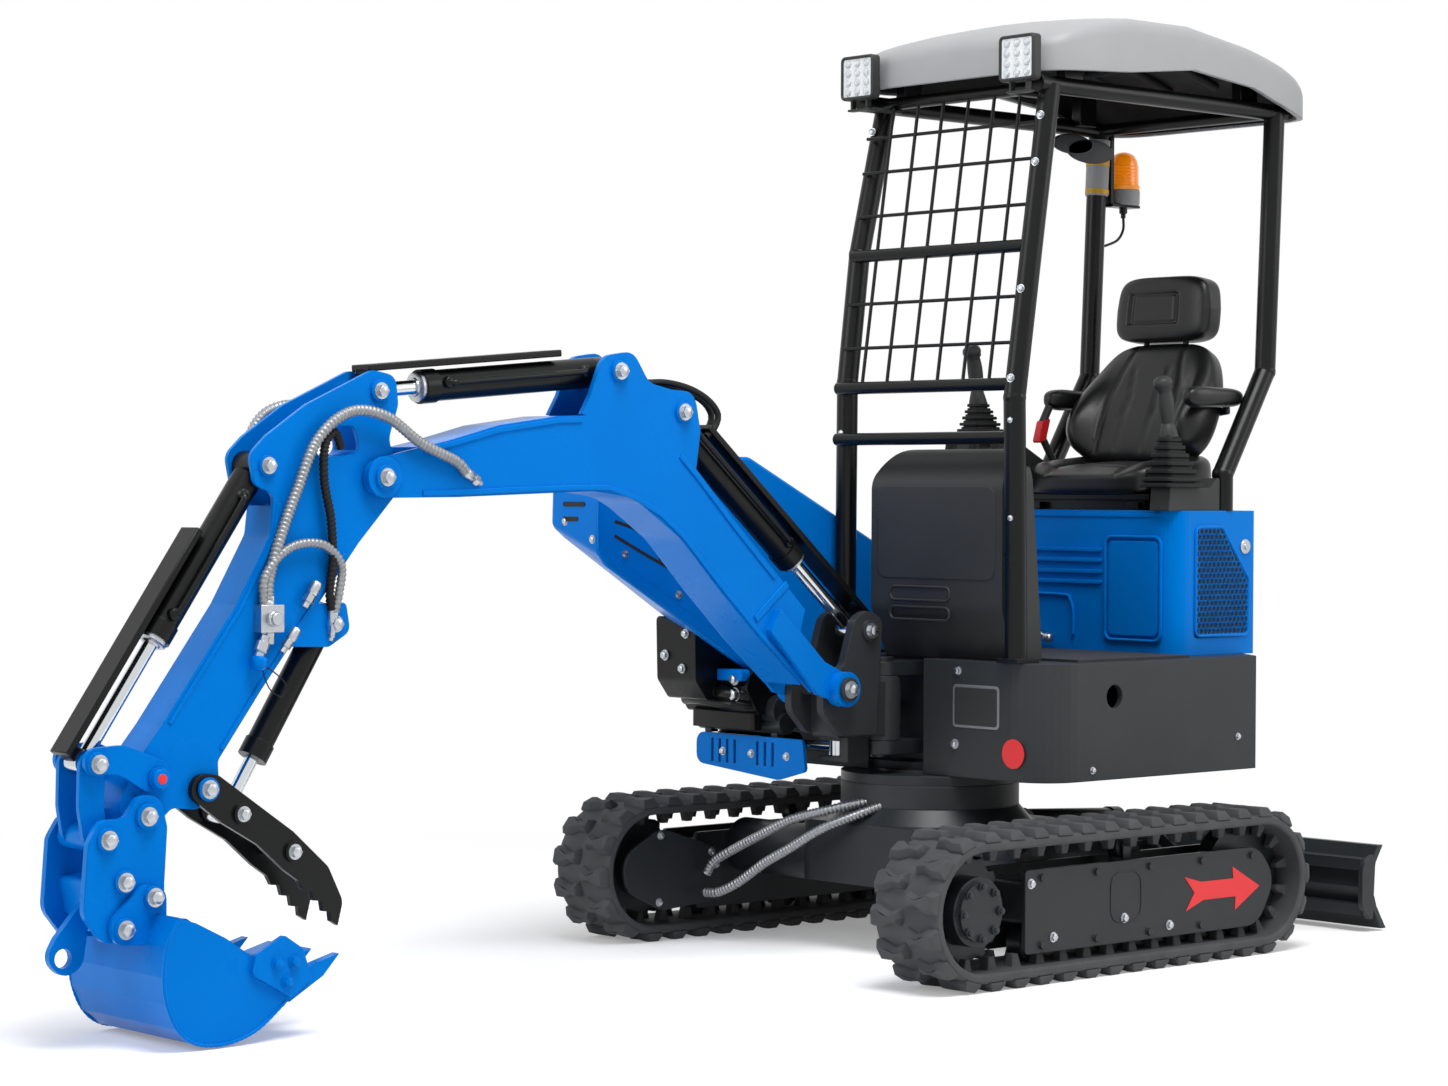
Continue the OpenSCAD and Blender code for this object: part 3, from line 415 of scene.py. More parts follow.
def finish(name, code, second, blotch_mm, grain_mm, grain, rough, edge_mm=0.0, **sockets):
    """A finish of two near tones in soft blotches, a fine grain and roughness that follows the blotches.
    grain is the bump's height in millimetres, rough the lowest and highest roughness, edge_mm a soft edge.
    The grain is drawn coarser than life, so that it shows in a picture of the whole digger."""
    tree, shader, at = new_finish(name)
    blotch = add(tree, "ShaderNodeTexNoise",
                 {"Vector": at, "Scale": 1000 / blotch_mm, "Detail": 4.0, "Roughness": 0.6})
    tone = add(tree, "ShaderNodeMix", {0: blotch.outputs["Fac"], 6: linear(code), 7: linear(second)},
               data_type="RGBA")
    sheen = add(tree, "ShaderNodeMapRange", {"Value": blotch.outputs["Fac"], "From Min": 0.3, "From Max": 0.7,
                                             "To Min": rough[0], "To Max": rough[1]})
    fine = add(tree, "ShaderNodeTexNoise", {"Vector": at, "Scale": 1000 / grain_mm, "Detail": 2.0})
    bump = add(tree, "ShaderNodeBump",
               {"Height": fine.outputs["Fac"], "Strength": 0.5, "Distance": grain / 1000})
    if edge_mm:
        edge = add(tree, "ShaderNodeBevel", {"Radius": edge_mm / 1000}, samples=4)
        tree.links.new(edge.outputs["Normal"], bump.inputs["Normal"])
    tree.links.new(tone.outputs[2], shader.inputs["Base Color"])
    tree.links.new(sheen.outputs["Result"], shader.inputs["Roughness"])
    tree.links.new(bump.outputs["Normal"], shader.inputs["Normal"])
    for key, value in sockets.items():
        shader.inputs[key.replace("_", " ").title().replace("Ior", "IOR")].default_value = value
    return tree, shader, at


def make_finishes(look):
    """All finishes, from the colours of the panel."""
    # two-pack enamel sprayed on welded steel: deep colour, hard gloss, faint orange peel
    finish("blue_enamel", look.blue, look.blue_deep, 180, 2.6, 0.05, (0.24, 0.34), 3.0,
           specular_ior_level=0.28, specular_tint=PAINT_TINT)
    # ABS panels in the same blue, moulded: a little softer in gloss, fine grain
    finish("blue_abs", look.blue, look.blue_deep, 240, 1.8, 0.04, (0.28, 0.38), 4.0, specular_ior_level=0.3,
           specular_tint=PAINT_TINT)
    # powder coat on pressed steel: even dark grey with a fine pebble
    finish("dark_powder_coat", look.dark_grey, "#2B2E30", 200, 1.6, 0.10, (0.42, 0.5), 4.0,
           specular_ior_level=0.25)
    # stoving enamel on tube: black with a clear gloss
    finish("black_enamel", look.black, "#08090A", 160, 2.4, 0.04, (0.26, 0.36), 2.5, specular_ior_level=0.2,
           coat_weight=0.06, coat_roughness=0.1)
    # chassis paint, thick and dull over rough plate
    finish("chassis_paint", "#282C2F", "#212528", 120, 3.2, 0.1, (0.3, 0.42), 3.0, specular_ior_level=0.3)
    # black ABS with a moulded grain: dull and slightly grey in light
    finish("black_abs", "#343535", "#2A2B2B", 150, 1.5, 0.14, (0.46, 0.56), 3.0, specular_ior_level=0.3)
    # cured tread rubber: dark grey, dry, with mould marks
    finish("tread_rubber", look.rubber, "#3B3C3E", 60, 2.2, 0.35, (0.66, 0.8), 5.0, specular_ior_level=0.4)
    # hard chrome on a ground rod: mirror bright with fine grinding marks
    finish("hard_chrome", "#D9DCDF", "#C8CCD0", 90, 0.9, 0.006, (0.08, 0.16), metallic=1.0)
    # zinc plate on fasteners: bright grey metal, slightly cloudy
    finish("zinc_plate", "#C9CCD0", "#A9ADB2", 14, 1.2, 0.03, (0.26, 0.4), metallic=1.0)
    # spiral guard of galvanised strip over a hose: light grey, half bright
    finish("hose_guard", "#A4A7AA", "#77797D", 10, 1.5, 0.05, (0.34, 0.5), metallic=0.5)
    # spring guard of bright wire round the travel hoses
    finish("hose_spring", "#A6A9AC", "#7B7E81", 10, 1.5, 0.05, (0.3, 0.44), metallic=0.8)
    # nitrile hose cover: black, satin, lightly cloth marked
    finish("hose_rubber", "#0F1011", "#17181A", 18, 1.6, 0.08, (0.5, 0.62), specular_ior_level=0.25)
    # moulded roof shell in grey ABS: satin with a fine grain
    finish("roof_abs", look.roof, "#97989A", 260, 2.0, 0.05, (0.4, 0.5), 4.0, specular_ior_level=0.3)
    # ribbed mat in black rubber: dry and dull
    finish("floor_rubber", "#202123", "#28292B", 40, 3.0, 0.3, (0.66, 0.8), 1.5)
    # signal red enamel of the marks
    finish("red_enamel", look.red, "#E3262B", 60, 2.0, 0.02, (0.34, 0.42))
    # yellow vinyl tape in bands: flat colour, half gloss
    finish("yellow_tape", "#D9A61E", "#C29014", 30, 1.5, 0.03, (0.4, 0.5))
    # near-black of painted shade inside the slots and behind the grille, and of the roof's lining, whose own
    # black is darkened further as painted shade
    finish("painted_shade_black", "#0B0C0D", "#101112", 40, 2.0, 0.02, (0.7, 0.8))
    # bare alloy of the plate's border: dull bright metal
    finish("plate_alloy", "#8E9194", "#7C7F83", 50, 1.0, 0.02, (0.4, 0.5), metallic=0.6)
    # reflector of a work lamp: bright plastic mirror, drawn near-white and only part metal, so its brightness
    # is partly painted reflection
    finish("lamp_mirror", "#F0F2F4", "#E2E5E8", 30, 1.2, 0.02, (0.12, 0.2), metallic=0.4)
    # clear polycarbonate lens: bright, with sharp glints
    finish("lamp_lens", "#EEF1F4", "#E2E6EA", 40, 1.0, 0.01, (0.05, 0.1), transmission_weight=0.6, ior=1.58)
    # amber polycarbonate dome, tinted through: a faint glow of its own stands in for daylight inside it
    finish("amber_lens", look.amber, "#F08000", 30, 2.0, 0.04, (0.08, 0.16), transmission_weight=0.15,
           ior=1.58, emission_color=linear(look.amber), emission_strength=0.22)
    # vinyl on foam: black, soft sheen, leather grain of small cells
    tree, shader, at = finish("seat_vinyl", "#0B0C0D", "#121314", 90, 1.2, 0.05, (0.28, 0.4),
                              specular_ior_level=0.38, sheen_weight=0.03, sheen_roughness=0.4)
    cells = add(tree, "ShaderNodeTexVoronoi", {"Vector": at, "Scale": 1000 / 2.6}, feature="DISTANCE_TO_EDGE")
    old = shader.inputs["Normal"].links[0].from_node
    grain = add(tree, "ShaderNodeBump", {"Height": cells.outputs["Distance"], "Strength": 0.4,
                                         "Distance": 0.00025, "Normal": old.outputs["Normal"]})
    tree.links.new(grain.outputs["Normal"], shader.inputs["Normal"])


NODE_FINISH = {
    "tread_rubber": ["track_left", "track_right"],
    "chassis_paint": [
        "track_frame_left", "track_frame_right", "drive_left", "drive_right", "idler_left", "idler_right",
        "rollers_left", "rollers_right", "center_frame", "blade", "main_frame", "front_frame"],
    "dark_powder_coat": ["lower_shell", "swing_post", "slew_ring", "engine_block"],
    "black_enamel": [
        "canopy_frame", "wire_guard", "travel_levers", "blade_barrel", "swing_barrel", "boom_barrel",
        "arm_barrel", "bucket_barrel", "thumb_barrel", "thumb", "seat_base"],
    "black_abs": ["knee_panel", "consoles", "hood_grille", "levers", "work_lamps"],
    "blue_abs": ["engine_hood", "right_cover"],
    "blue_enamel": ["boom", "arm", "side_links", "h_link", "coupler", "bucket", "front_guard"],
    "hard_chrome": ["blade_rod", "swing_rod", "boom_rod", "arm_rod", "bucket_rod", "thumb_rod"],
    "floor_rubber": ["floor_mat"],
    "roof_abs": ["roof"],
    "amber_lens": ["beacon"],
    "seat_vinyl": ["seat_cushion", "seat_back", "headrest", "armrests"],
}


# piece makers
def bolts(name, body, places, finish_name="zinc_plate", head=0.9, washer=1.35):
    """Hex heads on one body, as one piece."""
    mesh = run_tree(TREES["bolts"], point_mesh(places),
                    {"Head height": head, "Washer radius": washer, "Finish": MATERIALS[finish_name]})
    return settle(name, mesh, finish_name, body)


def both_sides(pin, y, size):
    """Places for a head on each outer side of a pin."""
    return [((pin[0], s * y, pin[1]), (0, s, 0), size) for s in (1, -1)]


def pad(name, centre, half, turn, power, swell, body, stand_for, cuts=44):
    """A stuffed form: a box drawn to a soft crown, then moved by swell(a, b, c), in millimetres.
    a, b and c run from -1 to 1 along the pad's own front, width and height."""
    bm = bmesh.new()
    bmesh.ops.create_cube(bm, size=2)
    bmesh.ops.subdivide_edges(bm, edges=bm.edges, cuts=cuts, use_grid_fill=True)
    rot = Matrix.Rotation(turn, 3, "Y")
    for v in bm.verts:
        a, b, c = v.co
        n = (abs(a) ** power + abs(b) ** power + abs(c) ** power) ** (1 / power)
        local = Vector((a / n * half[0], b / n * half[1], c / n * half[2]))
        local += Vector(swell(a / n, b / n, c / n))
        v.co = (Vector(centre) + rot @ local) / 1000
    bmesh.ops.recalc_face_normals(bm, faces=bm.faces)
    mesh = bpy.data.meshes.new(name)
    bm.to_mesh(mesh)
    bm.free()
    obj = settle(name, mesh, "seat_vinyl", body, angle=80, stand_for=stand_for)
    return obj


def step(t):
    """A soft step from 0 to 1."""
    t = min(max(t, 0), 1)
    return t * t * (3 - 2 * t)


def groove(d, width):
    """Depth share of a sewn channel at a distance from its line."""
    return math.exp(-((d / width) ** 2))


def hose(name, points, radius, wrapped, body, blend=None, finish_name=None):
    """A hose along a smooth route; a wrapped one has the spiral of its guard."""
    path = smooth_route(points, SPIRAL_STEP if wrapped else PLAIN_STEP)
    radii = [radius * (1.0 if not wrapped or i % 4 < 2 else SPIRAL_WAIST) for i in range(len(path))]
    shape = Shape().tube(path, radii, 12)
    material = finish_name or ("hose_guard" if wrapped else "hose_rubber")
    slot = "black_plastic" if material == "hose_rubber" else "grey_steel"
    obj = shape.piece(name, material, None if blend else body, slot, angle=50)
    if blend:
        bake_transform(obj)
    return obj


def crimp(shape, at, axis, radius):
    """The pressed sleeve, nut and stem at a hose's end."""
    axis = Vector(axis).normalized()
    sleeve = ((-2, 1.1), (0, 1.32), (4, 1.4), (20, 1.4), (24, 1.2), (26, 0.9), (30, 0.9))
    shape.turned(at, axis, [(h, radius * share) for h, share in sleeve], 18)
    shape.turned(Vector(at) + axis * 28, axis, [(0, radius * 1.45), (14, radius * 1.45)], 6)
    shape.turned(Vector(at) + axis * 42, axis, [(0, radius * 0.95), (12, radius * 0.95)], 16)


# panel data
class DiggerLook(bpy.types.PropertyGroup):
    """Colours of the finishes."""

    blue: StringProperty(name="Blue", description="Main paint, sRGB hex", default="#007ADA")
    blue_deep: StringProperty(name="Deep blue", description="Second tone of the main paint, sRGB hex",
                              default="#006FCA")
    dark_grey: StringProperty(name="Dark grey", description="Lower shell, sRGB hex", default="#35383A")
    black: StringProperty(name="Black", description="Tubes and cylinders, sRGB hex", default="#0D0E0F")
    rubber: StringProperty(name="Rubber", description="Tread, sRGB hex", default="#4C4D4F")
    roof: StringProperty(name="Roof", description="Roof shell, sRGB hex", default="#A2A3A5")
    red: StringProperty(name="Red", description="Arrow and dot, sRGB hex", default="#F5282D")
    amber: StringProperty(name="Amber", description="Beacon dome, sRGB hex", default="#FFA014")


class DiggerSizes(bpy.types.PropertyGroup):
    """Sizes of the fine pieces."""

    hose_radius: FloatProperty(name="Hose radius", description="Outer radius of the guarded hoses",
                               default=0.011, unit="LENGTH")
    pin_head: FloatProperty(name="Pin nut", description="Size of the nuts on the main pins", default=0.013,
                            unit="LENGTH")
    comb_pitch: FloatProperty(name="Grille pitch", default=0.0145, unit="LENGTH",
                              description="Distance between the cells of the hood grille")
    bellows_folds: IntProperty(name="Bellows folds", description="Folds of a lever's rubber boot", default=6,
                               min=3, max=10)
    led_rows: IntProperty(name="Lamp rows", description="Rows of lenses in a work lamp", default=4, min=2,
                          max=6)


def sizes():
    """The panel's sizes."""
    return bpy.context.scene.digger_sizes


def nut_size():
    """Size of the main pins' nuts in millimetres."""
    return sizes().pin_head * 1000


# operators
class DIGGER_OT_stage(bpy.types.Operator):
    """Sets the floor, the studio light and the camera at the picture's angle"""

    bl_idname = "digger.stage"
    bl_label = "Stage"

    # metres off the digger where the paper begins to turn white and is white, its lift near by,
    # and the strength of the soft air
    FADE_FROM, FADE_TO, LIFT, AIR = 1.5, 3.4, 0.26, 0.32

    def seen_rays(self, tree):
        """One for rays that the eye follows: straight, by a mirror or through glass."""
        path = add(tree, "ShaderNodeLightPath").outputs
        some = add(tree, "ShaderNodeMath", {0: path["Is Camera Ray"], 1: path["Is Glossy Ray"]},
                   operation="MAXIMUM")
        every = add(tree, "ShaderNodeMath", {0: some.outputs[0], 1: path["Is Transmission Ray"]},
                    operation="MAXIMUM")
        return every.outputs[0]

    def floor(self, scene):
        """Matt studio paper: white for the eye far off, while near the tracks it keeps the soft shadow."""
        mesh = bpy.data.meshes.new("studio_floor")
        corners = [(x * FLOOR_HALF, y * FLOOR_HALF, 0) for x, y in ((-1, -1), (1, -1), (1, 1), (-1, 1))]
        mesh.from_pydata(corners, [], [(0, 1, 2, 3)])
        floor = bpy.data.objects.new("studio_floor", mesh)
        scene.collection.objects.link(floor)
        tree, shader, at = new_finish("studio_paper")
        shader.inputs["Base Color"].default_value = linear("#F2F2F2")
        shader.inputs["Roughness"].default_value = 0.95
        shader.inputs["Specular IOR Level"].default_value = 0.0
        seen = self.seen_rays(tree)
        far = add(tree, "ShaderNodeVectorMath", {0: at, 1: (0.6, 0.0, 0.0)}, operation="DISTANCE")
        reach = {"Value": far.outputs["Value"], "From Min": self.FADE_FROM, "From Max": self.FADE_TO}
        fade = add(tree, "ShaderNodeMapRange", reach, interpolation_type="SMOOTHSTEP")
        share = add(tree, "ShaderNodeMath", {0: fade.outputs["Result"], 1: seen}, operation="MULTIPLY")
        lift = add(tree, "ShaderNodeMath", {0: seen, 1: self.LIFT}, operation="MULTIPLY")
        glow = add(tree, "ShaderNodeEmission", {"Strength": lift.outputs[0]})
        near = add(tree, "ShaderNodeAddShader", {0: shader.outputs[0], 1: glow.outputs[0]})
        white = add(tree, "ShaderNodeEmission", {"Strength": 1.0})
        both = add(tree, "ShaderNodeMixShader",
                   {0: share.outputs[0], 1: near.outputs[0], 2: white.outputs[0]})
        out = next(n for n in tree.nodes if n.type == "OUTPUT_MATERIAL")
        tree.links.new(both.outputs[0], out.inputs["Surface"])
        mesh.materials.append(MATERIALS["studio_paper"])

    def light(self, scene):
        """A soft world that looks white, and the lamps."""
        world = bpy.data.worlds.new("studio_air")
        scene.world = world
        world.use_nodes = True
        tree = world.node_tree
        tree.nodes.clear()
        soft = add(tree, "ShaderNodeBackground", {"Color": (1, 1, 1, 1), "Strength": self.AIR})
        seen = add(tree, "ShaderNodeBackground", {"Color": (1, 1, 1, 1), "Strength": 1.0})
        mix = add(tree, "ShaderNodeMixShader",
                  {0: self.seen_rays(tree), 1: soft.outputs[0], 2: seen.outputs[0]})
        add(tree, "ShaderNodeOutputWorld", {"Surface": mix.outputs[0]})
        for name, (where, size, power) in LAMPS.items():
            lamp = bpy.data.lights.new(name, "AREA")
            lamp.size, lamp.energy = size, power
            obj = bpy.data.objects.new(name, lamp)
            obj.location = where
            obj.rotation_euler = (Vector(LAMP_AIM) - Vector(where)).to_track_quat("-Z", "Y").to_euler()
            scene.collection.objects.link(obj)

    def camera(self, scene):
        """The camera at the picture's angle."""
        level = math.cos(PITCH)
        ahead = Vector((level * math.cos(YAW), level * math.sin(YAW), math.sin(PITCH)))
        right = ahead.cross(Vector((0, 0, 1))).normalized()
        up = right.cross(ahead)
        c, s = math.cos(ROLL), math.sin(ROLL)
        right, up = right * c + up * s, up * c - right * s
        camera = bpy.data.cameras.new("picture_camera")
        camera.sensor_fit, camera.sensor_width = "HORIZONTAL", SENSOR
        camera.lens, camera.clip_end = SENSOR * FOCAL_PX / PICTURE_PX, 200
        eye = bpy.data.objects.new("picture_camera", camera)
        eye.matrix_world = Matrix.Translation(EYE) @ Matrix((right, up, -ahead)).transposed().to_4x4()
        scene.collection.objects.link(eye)
        scene.camera = eye

    def execute(self, context):
        context.scene.view_settings.view_transform = "Standard"
        self.floor(context.scene)
        self.light(context.scene)
        self.camera(context.scene)
        return {"FINISHED"}


class DIGGER_OT_finishes(bpy.types.Operator):
    """Makes the finishes and puts them on the frame's own solids"""

    bl_idname = "digger.finishes"
    bl_label = "Finishes"

    def execute(self, context):
        make_finishes(context.scene.digger_look)
        for name, nodes in NODE_FINISH.items():
            for node in nodes:
                NODES[node].data.materials.clear()
                NODES[node].data.materials.append(MATERIALS[name])
        TREES.update(bolts=bolt_tree(), comb=honeycomb_tree(), leds=led_tree())
        return {"FINISHED"}


class DIGGER_OT_hood(bpy.types.Operator):
    """Ribs, hand panel, honeycomb grille, latch and stay of the engine hood"""

    bl_idname = "digger.hood"
    bl_label = "Hood"

    # outline of the grille in the side view, and its face
    GRILLE = ((-474, 694, 14), (-474, 941, 16), (-566, 941, 16), (-662, 822, 16), (-660, 694, 14))
    GRILLE_Y = 371

    def front(self):
        """Ribs, the corner line and the hand panel on the hood's front."""
        ribs = Shape()
        for z in (858, 882, 808, 832):
            ribs.prism(slab(-200, 156, z, z + 9, 4), "yz", HOOD_X - 5, HOOD_X + 2)
        corner = [(HOOD_X, y, z) for y, z in ((-200, 782), (30, 782), (62, 772), (72, 740), (72, 690))]
        ribs.tube(smooth_route(corner, 8), 3.6, 8)
        ribs.hoop(slab(170, 335, 683, 918, 18), "yz", HOOD_X, 3.8)
        ribs.prism(slab(180, 325, 693, 908, 12), "yz", HOOD_X - 4, HOOD_X + 1.8)
        ribs.prism(slab(-330, 330, 962, 972, 4), "yz", HOOD_X - 5, HOOD_X - 1.5)
        ribs.piece("hood_ribs", "blue_abs", "house", "blue_paint", bevel=1.6)

    def grille(self):
        """Honeycomb cells inside the grille's outline, on a dark ground of painted shade, with a raised
        border.
        """
        # rows of six-sided cells lie 0.866 of the pitch apart, and a cell's radius is the pitch over 1.732
        pitch = sizes().comb_pitch * 1000
        rise = pitch * 0.866
        left, right, low, high = -652, -484, 704, 931
        places = []
        for r in range(int(236 / rise) + 1):
            z = low + r * rise
            x = left + (pitch / 2 if r % 2 else 0)
            while x < right:
                under_slope = z < 815 + (x + 662) * 1.25 - 8
                if z < high and under_slope:
                    places.append(((x, self.GRILLE_Y + 0.2, z), (0, 1, 0), pitch / 1.732))
                x += pitch
        values = {"Wall": 0.3, "Depth": 0.4, "Finish": MATERIALS["blue_abs"]}
        mesh = run_tree(TREES["comb"], point_mesh(places), values)
        settle("hood_honeycomb", mesh, "blue_abs", "house")
        outline = rounded(self.GRILLE)
        # a dark sheet of painted shade behind the cells stands in for the shade inside the grille
        dark = Shape().prism(outline, "xz", self.GRILLE_Y - 1.6, self.GRILLE_Y - 0.4)
        dark.piece("grille_painted_shade", "painted_shade_black", "house", "black_plastic")
        border = Shape().hoop(outline, "xz", self.GRILLE_Y, 4)
        border.piece("grille_border", "blue_abs", "house", "blue_paint", angle=60)

    def execute(self, context):
        self.front()
        self.grille()
        latch = Shape().turned((-648, 369, 896), (0, 1, 0), [(0, 17), (4, 17), (6, 15), (6.5, 8), (9, 7)])
        latch.piece("hood_latch", "zinc_plate", "house", "grey_steel")
        bend = [(-392, -60, 744), (-386, -50, 716), (-384, -28, 694), (-380, 6, 682)]
        stay = Shape().tube(smooth_route(bend, 5), 6, 10)
        stay.turned((-380, 0, 683), (0, 1, -0.2), [(0, 8), (4, 11), (16, 11), (20, 7)], 16)
        stay.turned((-394, -62, 746), (1, 0, 0), [(0, 12), (8, 12), (10, 8)], 16)
        stay.piece("hood_stay", "zinc_plate", "house", "grey_steel", angle=50)
        return {"FINISHED"}


class DIGGER_OT_shell(bpy.types.Operator):
    """Bare plate, red dot and bolts of the lower shell"""

    bl_idname = "digger.shell"
    bl_label = "Lower shell"

    def execute(self, context):
        plate = Shape().prism(slab(183, 309, 510, 592, 6), "yz", SHELL_X - 0.5, SHELL_X + 2.5)
        plate.piece("bare_plate", "black_abs", "house", "black_plastic", bevel=0.6)
        border = Shape().prism(slab(177, 315, 504, 598, 10), "yz", SHELL_X - 0.5, SHELL_X + 1.4)
        border.piece("plate_border", "plate_alloy", "house", "grey_steel", bevel=0.5)
        dot = Shape().turned((SHELL_X - 0.4, 356, 455), (1, 0, 0), [(0, 32), (1.0, 32)], 40)
        dot.piece("red_dot", "red_enamel", "house", "black_plastic")
        places = [((SHELL_X, y, z), (1, 0, 0), 8) for y, z in ((191, 627), (184, 467))]
        places += [((x, 450, z), (0, 1, 0), 6) for x, z in ((-40, 418), (-530, 470))]
        bolts("shell_bolts", "house", places)
        return {"FINISHED"}


class DIGGER_OT_seat(bpy.types.Operator):
    """Stuffed seat with bolsters, sewn channels, headrest and arm pads"""

    bl_idname = "digger.seat"
    bl_label = "Seat"

    @staticmethod
    def cushion(a, b, c):
        """Side bolsters, a crowned middle and its seams."""
        side = step((abs(b) - 0.5) / 0.32) * (0.72 - 0.28 * a)
        crown = 7 * (1 - a * a) * max(0, 1 - (b / 0.5) ** 2)
        seams = 7 * groove(abs(b) - 0.54, 0.025) + 5 * groove(a - 0.62, 0.03) * (abs(b) < 0.52)
        return (0, 0, (26 * side + crown - seams - 10 * step((a - 0.6) / 0.4)) * max(c, 0))

    @staticmethod
    def back(a, b, c):
        """Bolsters that narrow upwards, with sewn channels that part in the middle."""
        side = step((abs(b) - 0.5) / 0.34)
        low = step((0.75 - c) / 1.3)
        narrow = -30 * b * step((c + 0.1) / 1.1) + 8 * b * low
        vee = groove(abs(b) - 0.2 - 0.2 * abs(c - 0.02), 0.022) * (-0.35 < c < 0.55)
        edge = groove(abs(b) - 0.53 + 0.1 * max(c, 0), 0.024)
        foot = groove(abs(b) - 0.2, 0.02) * (c < -0.1)
        lines = 6 * edge + 4 * vee + 3 * foot
        return ((58 * side * low - lines) * max(a, 0), narrow, 0)

    @staticmethod
    def head(a, b, c):
        """A sunk middle inside a seam."""
        q = max(abs(b + 0.12) / 0.5, abs(c) / 0.45)
        return ((-8 * groove(q - 1, 0.08) - 4 * (q < 1)) * max(a, 0), -10 * b * max(c, 0), 0)

    @staticmethod
    def rest(a, _, c):
        """Fuller towards the front."""
        return (0, 0, 5 * step((a + 0.2) / 1.2) * c)

    def execute(self, context):
        y = SEAT_Y
        pad("seat_cushion_pad", (-526, y, 1048), (140, 199, 36), 0.05, 5, self.cushion, "house",
            ["seat_cushion"])
        pad("seat_back_pad", (-642, y, 1224), (38, 194, 154), -0.44, 4, self.back, "house", ["seat_back"])
        pad("headrest_pad", (-700, y, 1449), (39, 141, 78), -0.1, 5, self.head, "house", ["headrest"])
        posts = Shape()
        for side, s in (("left", 1), ("right", -1)):
            pad("arm_pad_" + side, (-606, y + s * 214, 1238), (96, 26, 23), 0.0, 3, self.rest, "house",
                ["armrests"], 18)
            slide = y + s * 150
            posts.tube([(-662, y + s * 170, 1204), (-662, y + s * 208, 1208), (-650, y + s * 214, 1230)], 10)
            posts.box((-650, slide - 16, 980), (-400, slide + 16, 996))
            posts.box((-600, slide - 10, 996), (-430, slide + 10, 1014))
        for stem in (y - 60, y + 60):
            posts.tube([(-690, stem, 1340), (-694, stem, 1400)], 7)
        posts.piece("seat_posts", "black_enamel", "house", "black_paint", angle=50)
        tongue = rounded([(-500, 1142, 5), (-470, 1132, 5), (-486, 1186, 5), (-516, 1196, 5)])
        buckle = Shape().prism(tongue, "xz", y - 224, y - 204)
        buckle.piece("belt_buckle", "red_enamel", "house", "black_plastic", bevel=2)
        belt = Shape().tube([(-560, y - 205, 1030), (-530, y - 208, 1090), (-494, y - 214, 1150)], 9, 10)
        belt.tube([(-496, y - 214, 1182), (-520, y - 214, 1222)], 10, 10)
        belt.piece("belt_stem", "black_abs", "house", "black_plastic", angle=50)
        return {"FINISHED"}


class DIGGER_OT_levers(bpy.types.Operator):
    """Bellows levers on their consoles and the travel lever grips"""

    bl_idname = "digger.levers"
    bl_label = "Levers"

    def execute(self, context):
        folds = sizes().bellows_folds
        shape, caps = Shape(), Shape()

        def plate(x, y, wide, deep, r, lo, hi):
            shape.prism(slab(x - wide, x + wide, y - deep, y + deep, r), "xy", lo, hi)

        for x, y, z, tall, wide in ((-430, 336, 1030, 1.06, 1.42), (-306, -138, 1130, 0.86, 1.35)):
            plate(x, y, 44 * wide, 33 * wide, 10, z, z + 9)
            for i in range(folds):
                a, low = wide * (1 - 0.58 * i / (folds - 1)), z + 9 + 17 * tall * i
                plate(x + 2 * i, y, 40 * a, 31 * a, 9 * a, low + 4, low + 13 * tall)
                plate(x + 2 * i, y, 33 * a, 25 * a, 8 * a, low - 2, low + 19 * tall)
            top = z + 9 + 17 * tall * folds
            caps.turned((x + 11, y, top - 4), (0.12, 0, 1), [(0, 21), (6, 21), (30, 15), (34, 10)], 24)
            lean = ((13, 20), (18, 50), (25, 90), (33, 118))
            grip = smooth_route([(x + a, y, top + b) for a, b in lean], 5)
            n = len(grip)
            swell = [7 * math.sin(math.pi * i / n) ** 0.7 + (5 if i > n * 0.82 else 0) for i in range(n)]
            caps.tube(grip, [11 + r for r in swell], 18)
            knob = [(0, 12), (4, 20), (12, 22), (20, 20), (26, 13), (28, 4)]
            caps.turned((x + 30, y, top + 106), (0.3, 0, 1), knob, 24)
        shape.piece("lever_boots", "hose_rubber", "house", "black_plastic", bevel=2, stand_for=["levers"])
        caps.piece("lever_grips", "black_abs", "house", "black_plastic", angle=50)
        grips = Shape()
        for y in (40, 110, 180):
            grips.tube([(-13, y, 1080), (-24, y, 1134)], 13, 16)
        grips.piece("travel_grips", "hose_rubber", "house", "black_plastic", bevel=3)
        return {"FINISHED"}


